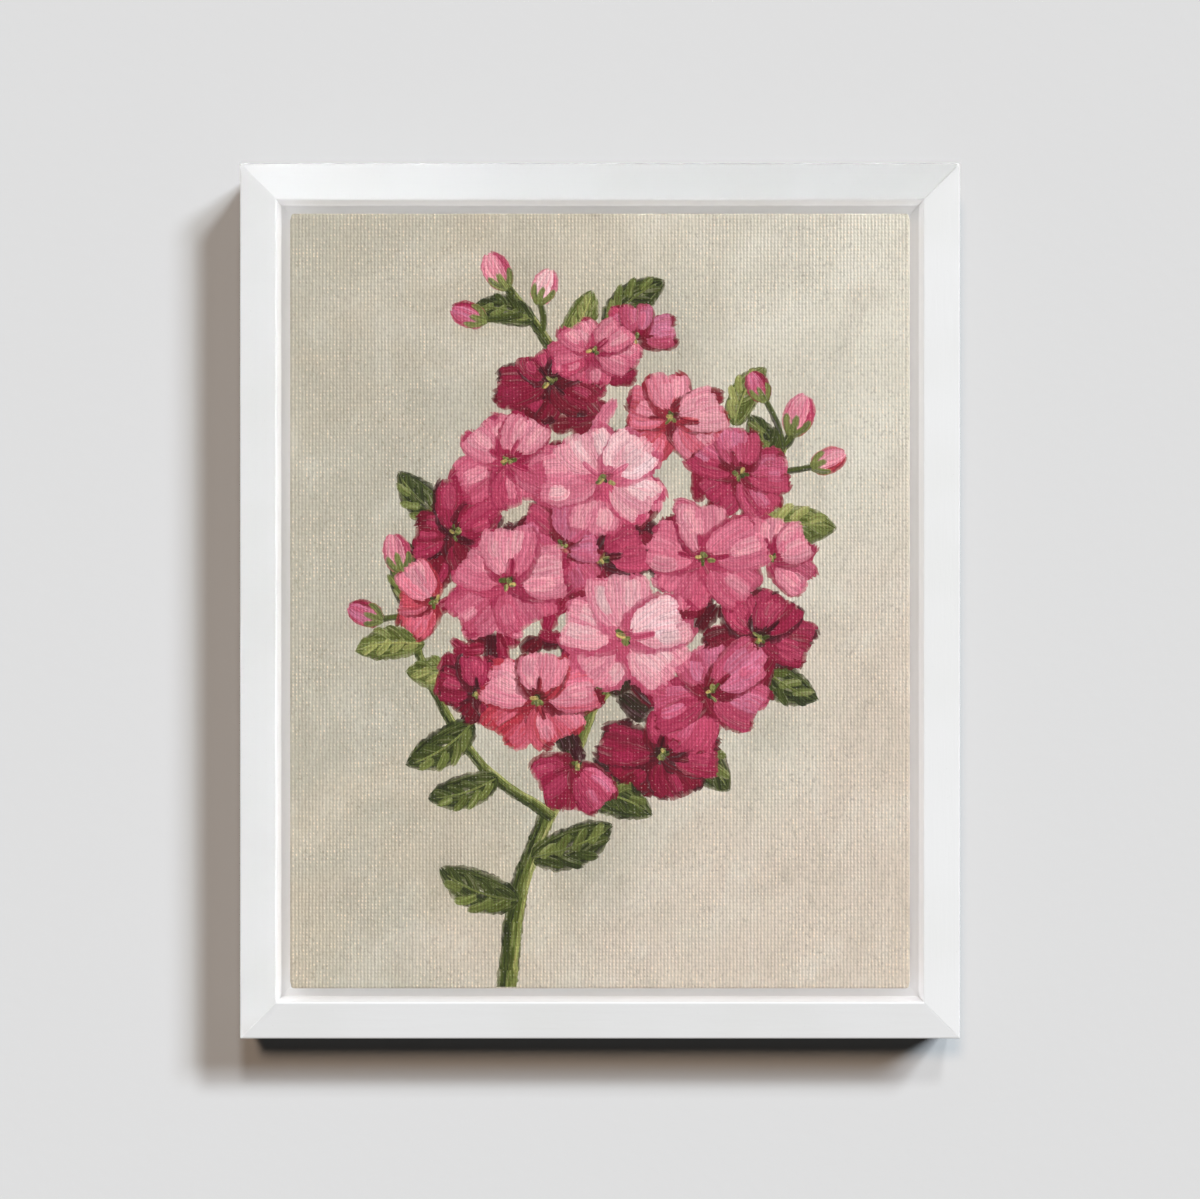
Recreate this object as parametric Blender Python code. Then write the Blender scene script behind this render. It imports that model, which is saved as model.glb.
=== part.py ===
"""A small stretched canvas in a white wooden floater frame, with all that holds it together.

Metres, +Z up. The picture faces -Y and the wall is at +Y. The origin is the middle notch of the
toothed hanger on the top rail, where a nail in the wall would sit.
"""

import math

import bmesh
import bpy

# The picture: a 4:5 stretched canvas.
CANVAS_WIDTH = 0.2032
CANVAS_HEIGHT = 0.2540
CANVAS_THICK = 0.0005
CANVAS_DEPTH = 0.0097
CANVAS_CORNER_RADIUS = 0.0015
CANVAS_EDGE_RADIUS = 0.0008
CANVAS_FLANGE = 0.0180

# The floater frame round it.
SHADOW_GAP = 0.0041
FACE_WIDTH = 0.0121
LEDGE_BEARING = 0.0120
BASE_THICK = 0.0120
REBATE_DEPTH = 0.0120
FACE_RISE = 0.0010
ARRIS_RADIUS = 0.0006

# Where it stands against the wall.
HANGER_BELOW_TOP = 0.0130
HANGER_STANDOFF = 0.0018
BUMPER_HEIGHT = 0.0028
CLEAR = 0.0003

# The stretcher under the canvas.
BAR_WIDTH = 0.0220
BAR_BEAD = 0.0040
BAR_RELIEF = 0.0014
KEY_LENGTH = 0.0180
KEY_HEAD = 0.0070
KEY_TIP = 0.0045
KEY_THICK = 0.0020
KEY_LAYER = 0.0018
KEY_FROM_CORNER = 0.0009

# The fasteners.
STAPLE_CROWN = 0.0100
STAPLE_WIRE = 0.0006
STAPLE_LEG = 0.0050
STAPLE_INSET = 0.0148
STAPLE_PITCH = 0.0420
STAPLES_LONG_SIDE = 5
STAPLES_SHORT_SIDE = 4
SCREW_RADIUS = 0.0012
SCREW_HEAD_RADIUS = 0.0028
SCREW_HEAD_HEIGHT = 0.0016
SCREW_BITE = 0.0050
SCREW_RECESS = 0.0005
SCREW_HALF_SPACING = 0.0700
V_NAIL_LEG = 0.0055
V_NAIL_THICK = 0.0007
V_NAIL_DEPTH = 0.0080
V_NAIL_INSET = 0.0110

# The hanger and the wall bumpers.
HANGER_LENGTH = 0.0440
HANGER_BRIDGE = 0.0280
HANGER_RAMP = 0.0020
HANGER_RISE = 0.0070
HANGER_THICK = 0.0008
TOOTH_PITCH = 0.0024
TOOTH_DEPTH = 0.0015
TOOTH_COUNT = 9
HANGER_NAIL_RADIUS = 0.0006
HANGER_NAIL_HEAD = 0.0016
HANGER_NAIL_HEAD_HEIGHT = 0.0006
HANGER_NAIL_LENGTH = 0.0080
BUMPER_RADIUS = 0.0045
BUMPER_TOP_RADIUS = 0.0032
BUMPER_FROM_SIDE = 0.0260
BUMPER_FROM_FOOT = 0.0110

# How round pieces are drawn, and how far a cutter stands clear of what it cuts.
CROWN_SHARE = 0.6
ROUND_SIDES = 16
ARC_STEPS = 4
CUT_MARGIN = 0.0010

# What follows from them.
HALF_WIDTH = CANVAS_WIDTH / 2 + SHADOW_GAP + FACE_WIDTH
HALF_HEIGHT = CANVAS_HEIGHT / 2 + SHADOW_GAP + FACE_WIDTH
RAIL_WIDTH = FACE_WIDTH + SHADOW_GAP + LEDGE_BEARING
CENTRE_Z = HANGER_BELOW_TOP - HALF_HEIGHT
BACK_Y = -(HANGER_STANDOFF + HANGER_THICK / 2 + CLEAR)
LEDGE_Y = BACK_Y - BASE_THICK
RIM_Y = LEDGE_Y - REBATE_DEPTH
CANVAS_BACK_Y = LEDGE_Y - CLEAR
CANVAS_FRONT_Y = CANVAS_BACK_Y - CANVAS_DEPTH
BAR_BACK_Y = CANVAS_BACK_Y - CANVAS_THICK - CLEAR
BAR_FRONT_Y = CANVAS_FRONT_Y + CANVAS_THICK + CLEAR
BAR_MIDDLE_Y = (BAR_BACK_Y + BAR_FRONT_Y) / 2
BAR_HALF_WIDTH = CANVAS_WIDTH / 2 - CANVAS_THICK - CLEAR
BAR_HALF_HEIGHT = CANVAS_HEIGHT / 2 - CANVAS_THICK - CLEAR

# Each side of a rectangle: its name, its turn about Y from the top, and whether it is a long one.
SIDES = (
    ("top", 0.0, False),
    ("right", math.pi / 2, True),
    ("bottom", math.pi, False),
    ("left", -math.pi / 2, True),
)
CORNERS = (
    ("top_right", 1, 1),
    ("bottom_right", 1, -1),
    ("bottom_left", -1, -1),
    ("top_left", -1, 1),
)


def clear_scene():
    """Removes every object of the scene."""
    for obj in list(bpy.data.objects):
        bpy.data.objects.remove(obj)


def make_material(name, colour, roughness, metallic=0.0):
    """A Principled material of one colour."""
    mat = bpy.data.materials.new(name)
    mat.use_nodes = True
    shader = mat.node_tree.nodes["Principled BSDF"]
    shader.inputs["Base Color"].default_value = (*colour, 1.0)
    shader.inputs["Roughness"].default_value = roughness
    shader.inputs["Metallic"].default_value = metallic
    return mat


def arc(centre, radius, start, end, steps=ARC_STEPS):
    """Points of a circle's arc in a plane, from the start angle to the end angle, in degrees."""
    angles = [math.radians(start + (end - start) * i / steps) for i in range(steps + 1)]
    return [(centre[0] + radius * math.cos(a), centre[1] + radius * math.sin(a)) for a in angles]


def skin(bm, loops):
    """Joins loops of equally many points with quads, and caps the first and the last loop."""
    rings = [[bm.verts.new(point) for point in loop] for loop in loops]
    for first, second in zip(rings, rings[1:]):
        for i in range(len(first)):
            j = (i + 1) % len(first)
            bm.faces.new((first[i], first[j], second[j], second[i]))
    bm.faces.new(rings[0][::-1])
    bm.faces.new(rings[-1])


def prism(bm, plan, low_y, high_y):
    """A plan outline of (x, z) points, raised along Y between two levels."""
    skin(bm, [[(x, y, z) for x, z in plan] for y in (low_y, high_y)])


def lathe(bm, profile, centre_x=0.0, centre_z=0.0):
    """A profile of (radius, y) points turned round a line along Y."""
    turns = [2 * math.pi * i / ROUND_SIDES for i in range(ROUND_SIDES)]
    loops = [
        [(centre_x + r * math.cos(a), y, centre_z + r * math.sin(a)) for a in turns]
        for r, y in profile
    ]
    skin(bm, loops)


def add_object(name, bm, mat, parent, turn=0.0, smooth=False):
    """Makes an object of the mesh, facing out, and hangs it on the parent turned about Y."""
    bmesh.ops.recalc_face_normals(bm, faces=bm.faces)
    mesh = bpy.data.meshes.new(name)
    bm.to_mesh(mesh)
    bm.free()
    if smooth:
        mesh.shade_smooth()
        mesh.set_sharp_from_angle(angle=math.radians(35))
    if mat:
        mesh.materials.append(mat)
    obj = bpy.data.objects.new(name, mesh)
    bpy.context.scene.collection.objects.link(obj)
    obj.parent = parent
    obj.rotation_euler = (0.0, turn, 0.0)
    return obj


def add_cutter(name, bm, parent):
    """An object that only cuts others."""
    obj = add_object(name, bm, None, parent)
    obj.hide_render = True
    obj.display_type = "WIRE"
    return obj


def cut(obj, *cutters):
    """Takes each cutter's space out of the object."""
    for cutter in cutters:
        modifier = obj.modifiers.new(cutter.name, "BOOLEAN")
        modifier.operation = "DIFFERENCE"
        modifier.solver = "EXACT"
        modifier.object = cutter


def mitred_side(bm, profile, half_length, half_across):
    """A stick along X whose ends are cut at 45 degrees. The profile is (inset, y) points."""
    reach = half_length - CLEAR / 2 * math.sqrt(2)
    loops = [
        [(end * (reach - inset), y, half_across - inset) for inset, y in profile]
        for end in (-1, 1)
    ]
    skin(bm, loops)


def rail_profile():
    """The L section of the frame: inset from the outer edge, and depth."""
    slope = math.atan2(FACE_RISE, FACE_WIDTH)
    r = ARRIS_RADIUS
    outer_centre = (r, RIM_Y + FACE_RISE + r * (1 - math.sin(slope)) / math.cos(slope))
    inner_centre = (FACE_WIDTH - r, RIM_Y + r * (1 + math.sin(slope)) / math.cos(slope))
    face_normal = 270 - math.degrees(slope)
    points = [(0.0, BACK_Y - r), *arc(outer_centre, r, 180, face_normal)]
    points += arc(inner_centre, r, face_normal, 360)
    points += [(FACE_WIDTH, LEDGE_Y), (RAIL_WIDTH, LEDGE_Y), (RAIL_WIDTH, BACK_Y), (r, BACK_Y)]
    return points


def bar_profile():
    """The stretcher's section: a bead at the outer edge, and a front that falls away inwards."""
    r = CANVAS_EDGE_RADIUS / 2
    points = [(0.0, BAR_BACK_Y), *arc((r, BAR_FRONT_Y + r), r, 180, 270)]
    points += [(BAR_BEAD, BAR_FRONT_Y), (BAR_WIDTH, BAR_FRONT_Y + BAR_RELIEF)]
    points.append((BAR_WIDTH, BAR_BACK_Y))
    return points


def rounded_rectangle(inset, radius):
    """The plan of the canvas, set in by a distance, with round corners."""
    radius = max(radius - inset, CANVAS_THICK / 4)
    half_x = CANVAS_WIDTH / 2 - inset - radius
    half_z = CANVAS_HEIGHT / 2 - inset - radius
    points = []
    for start, (sx, sz) in zip((0, 90, 180, 270), ((1, 1), (-1, 1), (-1, -1), (1, -1))):
        points += arc((sx * half_x, sz * half_z), radius, start, start + 90)
    return points


def build_canvas(mat, parent):
    """The cloth: a front, its wrapped edges and the margin folded on to the stretcher's back."""
    r = CANVAS_EDGE_RADIUS
    thick = CANVAS_THICK
    inner = r - thick
    front = arc((r, CANVAS_FRONT_Y + r), r, 270, 180)
    inner_front = arc((r, CANVAS_FRONT_Y + r), inner, 180, 270)
    profile = [*front, (0.0, CANVAS_BACK_Y - thick / 2), (thick / 2, CANVAS_BACK_Y)]
    profile += [(CANVAS_FLANGE, CANVAS_BACK_Y), (CANVAS_FLANGE, CANVAS_BACK_Y - thick)]
    profile += [(thick, CANVAS_BACK_Y - thick), *inner_front]
    bm = bmesh.new()
    loops = [
        [(x, y, z) for x, z in rounded_rectangle(inset, CANVAS_CORNER_RADIUS)]
        for inset, y in profile
    ]
    skin(bm, loops)
    return add_object("canvas", bm, mat, parent)


def turned(x, z, turn):
    """A plan point of the top side, carried round to another side."""
    return (
        x * math.cos(turn) + z * math.sin(turn),
        -x * math.sin(turn) + z * math.cos(turn),
    )


def staple_places():
    """Each staple's name, its turn, its place along its side and the side's half extent across."""
    for side, turn, long_side in SIDES:
        count = STAPLES_LONG_SIDE if long_side else STAPLES_SHORT_SIDE
        across = (CANVAS_WIDTH if long_side else CANVAS_HEIGHT) / 2 - STAPLE_INSET
        for i in range(count):
            along = (i - (count - 1) / 2) * STAPLE_PITCH
            yield f"staple_{side}_{i + 1}", turn, along, across


def build_staples(mat, parent):
    """The wire staples that hold the folded margin on the stretcher."""
    half = STAPLE_CROWN / 2
    outside = CANVAS_BACK_Y + CLEAR + STAPLE_WIRE
    inside = CANVAS_BACK_Y + CLEAR
    tip = CANVAS_BACK_Y - STAPLE_LEG
    for name, turn, along, across in staple_places():
        section = [
            (-half, tip),
            (-half, outside),
            (half, outside),
            (half, tip),
            (half - STAPLE_WIRE, tip),
            (half - STAPLE_WIRE, inside),
            (STAPLE_WIRE - half, inside),
            (STAPLE_WIRE - half, tip),
        ]
        bm = bmesh.new()
        loops = [
            [(along + x, y, across + side * STAPLE_WIRE / 2) for x, y in section]
            for side in (-1, 1)
        ]
        skin(bm, loops)
        add_object(name, bm, mat, parent, turn)


def staple_hole_cutter(parent):
    """Room for every staple's legs in the canvas and the stretcher."""
    bm = bmesh.new()
    half_hole = STAPLE_WIRE / 2 + CLEAR
    leg = (STAPLE_CROWN - STAPLE_WIRE) / 2
    for _, turn, along, across in staple_places():
        for x in (along - leg, along + leg):
            corners = ((-1, -1), (1, -1), (1, 1), (-1, 1))
            plan = [turned(x + sx * half_hole, across + sz * half_hole, turn) for sx, sz in corners]
            prism(bm, plan, CANVAS_BACK_Y - STAPLE_LEG - CLEAR, CANVAS_BACK_Y + CUT_MARGIN)
    return add_cutter("staple_holes", bm, parent)


def screw_places():
    """Where the screws stand that hold the stretcher on the side rails' ledge."""
    x = (CANVAS_WIDTH - LEDGE_BEARING) / 2
    for side, sx in (("left", -1), ("right", 1)):
        for level, sz in (("upper", 1), ("lower", -1)):
            yield f"screw_{side}_{level}", sx * x, sz * SCREW_HALF_SPACING


def screw_profile():
    """Half of a pan-headed screw: (radius, y) from the head's crown to the point."""
    crown = BACK_Y - SCREW_RECESS
    seat = crown - SCREW_HEAD_HEIGHT
    tip = BAR_BACK_Y - SCREW_BITE
    return [
        (SCREW_HEAD_RADIUS * CROWN_SHARE, crown),
        (SCREW_HEAD_RADIUS, crown - SCREW_HEAD_HEIGHT / 2),
        (SCREW_HEAD_RADIUS, seat),
        (SCREW_RADIUS, seat),
        (SCREW_RADIUS, tip + SCREW_RADIUS * 2),
        (SCREW_RADIUS / 4, tip),
    ]


def build_screws(mat, parent):
    """The screws that come from behind through the ledge into the stretcher."""
    for name, x, z in screw_places():
        bm = bmesh.new()
        lathe(bm, screw_profile(), x, z)
        add_object(name, bm, mat, parent, smooth=True)


def screw_hole_cutter(parent):
    """A stepped hole for each screw: a counterbore for the head, then the shank's hole."""
    bm = bmesh.new()
    shank = SCREW_RADIUS + CLEAR
    head = SCREW_HEAD_RADIUS + CLEAR
    seat = BACK_Y - SCREW_RECESS - SCREW_HEAD_HEIGHT - CLEAR
    bottom = BAR_BACK_Y - SCREW_BITE - CLEAR
    profile = [(head, BACK_Y + CUT_MARGIN), (head, seat), (shank, seat), (shank, bottom)]
    for _, x, z in screw_places():
        lathe(bm, profile, x, z)
    return add_cutter("screw_holes", bm, parent)


def bracket_plan(sx, sz, grow=0.0):
    """An L of thin sheet whose elbow lies on the mitre line of a corner of the frame."""
    x = HALF_WIDTH - V_NAIL_INSET
    z = HALF_HEIGHT - V_NAIL_INSET
    half = V_NAIL_THICK / 2 + grow
    leg = V_NAIL_LEG + grow
    plan = [(half, half), (half, -leg), (-half, -leg), (-half, -half), (-leg, -half), (-leg, half)]
    return [(sx * (x + dx), sz * (z + dz)) for dx, dz in plan]


def build_v_nails(mat, parent):
    """The bent steel nails driven in from behind across each mitre."""
    for corner, sx, sz in CORNERS:
        bm = bmesh.new()
        prism(bm, bracket_plan(sx, sz), BACK_Y - V_NAIL_DEPTH, BACK_Y - CLEAR / 2)
        add_object(f"v_nail_{corner}", bm, mat, parent)


def v_nail_slot_cutter(parent):
    """Room for the bent nails at the four mitres."""
    bm = bmesh.new()
    for _, sx, sz in CORNERS:
        plan = bracket_plan(sx, sz, CLEAR)
        prism(bm, plan, BACK_Y - V_NAIL_DEPTH - CLEAR, BACK_Y + CUT_MARGIN)
    return add_cutter("v_nail_slots", bm, parent)


def key_plan(sx, sz, along_x, grow=0.0):
    """A tapered key, half in its bar and half in the opening, next to an inner corner."""
    half = KEY_LENGTH / 2
    near = KEY_FROM_CORNER - grow
    tip = KEY_FROM_CORNER + KEY_TIP + grow
    head = KEY_FROM_CORNER + KEY_HEAD + grow
    plan = [(half + grow, near), (half + grow, tip), (-half - grow, head), (-half - grow, near)]
    corner_x = BAR_HALF_WIDTH - BAR_WIDTH
    corner_z = BAR_HALF_HEIGHT - BAR_WIDTH
    if along_x:
        return [(sx * (corner_x + a), sz * (corner_z - b)) for a, b in plan]
    return [(sx * (corner_x - b), sz * (corner_z + a)) for a, b in plan]


def key_levels(along_x):
    """The keys along X lie nearer the front than those along Z, so that they pass each other."""
    middle = BAR_MIDDLE_Y + (-KEY_LAYER if along_x else KEY_LAYER)
    return middle - KEY_THICK / 2, middle + KEY_THICK / 2


def build_keys(mat, parent):
    """The corner keys, two to a corner, that spread the stretcher to tighten the cloth."""
    for corner, sx, sz in CORNERS:
        for word, along_x in (("level", True), ("upright", False)):
            bm = bmesh.new()
            prism(bm, key_plan(sx, sz, along_x), *key_levels(along_x))
            add_object(f"key_{corner}_{word}", bm, mat, parent)


def key_slot_cutter(name, along_x, parent):
    """Room for the keys that enter one pair of bars."""
    bm = bmesh.new()
    low, high = key_levels(along_x)
    for _, sx, sz in CORNERS:
        prism(bm, key_plan(sx, sz, along_x, CLEAR), low - CLEAR, high + CLEAR)
    return add_cutter(name, bm, parent)


def build_rails(mat, parent, cutters):
    """The four mitred rails of the frame."""
    for side, turn, long_side in SIDES:
        bm = bmesh.new()
        halves = (HALF_HEIGHT, HALF_WIDTH) if long_side else (HALF_WIDTH, HALF_HEIGHT)
        mitred_side(bm, rail_profile(), *halves)
        rail = add_object(f"rail_{side}", bm, mat, parent, turn)
        cut(rail, cutters["v_nails"])
        if long_side:
            cut(rail, cutters["screws"])
        if side == "top":
            cut(rail, cutters["hanger_nails"])


def build_bars(mat, parent, cutters):
    """The four mitred bars of the stretcher."""
    for side, turn, long_side in SIDES:
        bm = bmesh.new()
        halves = (BAR_HALF_HEIGHT, BAR_HALF_WIDTH)
        mitred_side(bm, bar_profile(), *(halves if long_side else halves[::-1]))
        bar = add_object(f"stretcher_{side}", bm, mat, parent, turn)
        cut(bar, cutters["staples"])
        if long_side:
            cut(bar, cutters["screws"], cutters["level_keys"])
        else:
            cut(bar, cutters["upright_keys"])


def hanger_stations():
    """Stations along the hanger: x, the plate's middle depth, and its lower edge."""
    foot_y = BACK_Y + CLEAR + HANGER_THICK / 2
    half, bridge = HANGER_LENGTH / 2, HANGER_BRIDGE / 2
    stations = [(-half, foot_y, 0.0), (-bridge - HANGER_RAMP, foot_y, 0.0), (-bridge, 0.0, 0.0)]
    for i in range(TOOTH_COUNT * 2 - 1):
        x = (i - (TOOTH_COUNT - 1)) * TOOTH_PITCH / 2
        stations.append((x, 0.0, 0.0 if i % 2 == 0 else -TOOTH_DEPTH))
    stations += [(-x, y, z) for x, y, z in reversed(stations[:3])]
    return stations


def hanger_nail_places():
    """Where the two nails go through the hanger's feet."""
    x = (HANGER_LENGTH + HANGER_BRIDGE + 2 * HANGER_RAMP) / 4
    return (("left", -x), ("right", x))


def build_hanger(mat, parent, cutter):
    """The toothed steel hanger: two feet, and a bridge that stands off the rail."""
    bm = bmesh.new()
    half, high = HANGER_THICK / 2, HANGER_RISE
    loops = [
        [(x, y + side, z) for side, z in ((-half, low), (half, low), (half, high), (-half, high))]
        for x, y, low in hanger_stations()
    ]
    skin(bm, loops)
    cut(add_object("hanger", bm, mat, parent), cutter)


def build_hanger_nails(mat, parent):
    """The round-headed nails that hold the hanger."""
    seat = BACK_Y + 2 * CLEAR + HANGER_THICK
    tip = BACK_Y - HANGER_NAIL_LENGTH
    profile = [
        (HANGER_NAIL_HEAD * CROWN_SHARE, seat + HANGER_NAIL_HEAD_HEIGHT),
        (HANGER_NAIL_HEAD, seat + HANGER_NAIL_HEAD_HEIGHT / 2),
        (HANGER_NAIL_HEAD, seat),
        (HANGER_NAIL_RADIUS, seat),
        (HANGER_NAIL_RADIUS, tip + HANGER_NAIL_RADIUS * 2),
        (HANGER_NAIL_RADIUS / 4, tip),
    ]
    for side, x in hanger_nail_places():
        bm = bmesh.new()
        lathe(bm, profile, x, HANGER_RISE / 2)
        add_object(f"hanger_nail_{side}", bm, mat, parent, smooth=True)


def hanger_nail_cutter(parent):
    """Room for the hanger's nails in its feet and in the top rail."""
    bm = bmesh.new()
    hole = HANGER_NAIL_RADIUS + CLEAR
    levels = (CUT_MARGIN, BACK_Y - HANGER_NAIL_LENGTH - CLEAR)
    for _, x in hanger_nail_places():
        lathe(bm, [(hole, y) for y in levels], x, HANGER_RISE / 2)
    return add_cutter("hanger_nail_holes", bm, parent)


def build_bumpers(mat, parent):
    """The soft pads at the foot of the frame that keep it off the wall."""
    seat = BACK_Y + CLEAR
    profile = [
        (BUMPER_RADIUS, seat),
        (BUMPER_RADIUS, seat + BUMPER_HEIGHT / 3),
        (BUMPER_TOP_RADIUS, seat + BUMPER_HEIGHT),
    ]
    for side, sx in (("left", -1), ("right", 1)):
        bm = bmesh.new()
        lathe(bm, profile, sx * (HALF_WIDTH - BUMPER_FROM_SIDE), BUMPER_FROM_FOOT - HALF_HEIGHT)
        add_object(f"bumper_{side}", bm, mat, parent, smooth=True)


def add_empty(name, z):
    """A point that pieces are placed from."""
    empty = bpy.data.objects.new(name, None)
    bpy.context.scene.collection.objects.link(empty)
    empty.location = (0.0, 0.0, z)
    return empty


def main():
    """Builds every piece."""
    clear_scene()
    white_paint = make_material("satin_white_paint", (0.86, 0.86, 0.85), 0.35)
    cloth = make_material("primed_canvas", (0.60, 0.55, 0.45), 0.8)
    pine = make_material("raw_pine", (0.66, 0.47, 0.27), 0.65)
    beech = make_material("beech_keys", (0.58, 0.36, 0.18), 0.6)
    steel = make_material("bright_steel", (0.56, 0.56, 0.58), 0.35, 1.0)
    brass = make_material("brassed_steel", (0.70, 0.52, 0.24), 0.35, 1.0)
    rubber = make_material("clear_rubber", (0.55, 0.55, 0.53), 0.5)
    middle = add_empty("picture_middle", CENTRE_Z)
    notch = add_empty("hanger_notch", 0.0)
    cutters = {
        "v_nails": v_nail_slot_cutter(middle),
        "screws": screw_hole_cutter(middle),
        "staples": staple_hole_cutter(middle),
        "level_keys": key_slot_cutter("level_key_slots", True, middle),
        "upright_keys": key_slot_cutter("upright_key_slots", False, middle),
        "hanger_nails": hanger_nail_cutter(notch),
    }
    build_rails(white_paint, middle, cutters)
    build_v_nails(steel, middle)
    build_bars(pine, middle, cutters)
    build_keys(beech, middle)
    cut(build_canvas(cloth, middle), cutters["staples"], cutters["screws"])
    build_staples(steel, middle)
    build_screws(steel, middle)
    build_hanger(brass, notch, cutters["hanger_nails"])
    build_hanger_nails(brass, notch)
    build_bumpers(rubber, middle)


main()
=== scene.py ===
"""The looks of a small flower painting on stretched canvas, in a white wooden floater frame.

Metres, +Z up. The picture faces -Y and hangs on a wall at +Y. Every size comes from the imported
model's boxes or from a named field of the class that uses it.
"""

from __future__ import annotations

import logging
import math
from dataclasses import dataclass, field
from enum import Enum
from typing import Callable, Iterator, Sequence, Union

import bmesh
import bpy
import numpy as np
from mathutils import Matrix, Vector

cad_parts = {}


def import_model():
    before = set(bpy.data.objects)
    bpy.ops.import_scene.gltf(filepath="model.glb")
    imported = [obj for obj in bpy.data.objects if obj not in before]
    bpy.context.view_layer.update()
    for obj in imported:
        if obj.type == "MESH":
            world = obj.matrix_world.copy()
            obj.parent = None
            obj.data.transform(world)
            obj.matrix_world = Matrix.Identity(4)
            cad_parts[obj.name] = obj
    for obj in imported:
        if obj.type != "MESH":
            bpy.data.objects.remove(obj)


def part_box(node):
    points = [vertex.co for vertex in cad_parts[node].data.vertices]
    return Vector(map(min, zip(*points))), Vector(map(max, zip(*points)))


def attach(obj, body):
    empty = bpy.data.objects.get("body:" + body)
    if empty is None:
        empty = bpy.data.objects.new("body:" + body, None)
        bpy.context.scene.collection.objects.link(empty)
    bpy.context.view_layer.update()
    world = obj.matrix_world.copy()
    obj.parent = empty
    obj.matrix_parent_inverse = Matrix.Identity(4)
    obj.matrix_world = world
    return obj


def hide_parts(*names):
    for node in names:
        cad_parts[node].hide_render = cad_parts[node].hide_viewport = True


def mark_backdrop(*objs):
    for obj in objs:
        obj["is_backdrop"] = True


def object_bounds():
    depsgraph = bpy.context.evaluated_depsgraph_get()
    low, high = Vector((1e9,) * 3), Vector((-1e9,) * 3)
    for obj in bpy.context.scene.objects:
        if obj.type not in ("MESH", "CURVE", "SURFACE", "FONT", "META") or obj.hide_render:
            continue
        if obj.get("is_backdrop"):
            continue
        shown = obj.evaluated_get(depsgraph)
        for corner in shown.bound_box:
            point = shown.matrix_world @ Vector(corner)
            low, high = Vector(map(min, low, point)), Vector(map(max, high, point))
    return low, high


LOG = logging.getLogger("picture")
ROOT = "root"

Colour = tuple[float, float, float]
Point = tuple[float, float]
Piece = bpy.types.Object
Material = bpy.types.Material
Socket = bpy.types.NodeSocket
Value = Union[float, Socket]

MM = 0.001
TINY = 1e-9
BLACK: Colour = (0.0, 0.0, 0.0)
WHITE: Colour = (1.0, 1.0, 1.0)
CORNERS = ("top_right", "bottom_right", "bottom_left", "top_left")
MITRE_CREASE = 28.0


def linear(red: int, green: int, blue: int) -> Colour:
    """Turns a display colour into the linear one that a shader takes.

    Args:
        red, green, blue: the display values, from 0 to 255.

    Returns:
        The linear colour.
    """
    def one(value: int) -> float:
        """One channel."""
        share = value / 255
        return share / 12.92 if share <= 0.04045 else ((share + 0.055) / 1.055) ** 2.4

    return one(red), one(green), one(blue)


def blended(first: Colour, second: Colour, share: float) -> Colour:
    """A colour between two, share of the way to the second."""
    return tuple(a + (b - a) * share for a, b in zip(first, second))


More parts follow.
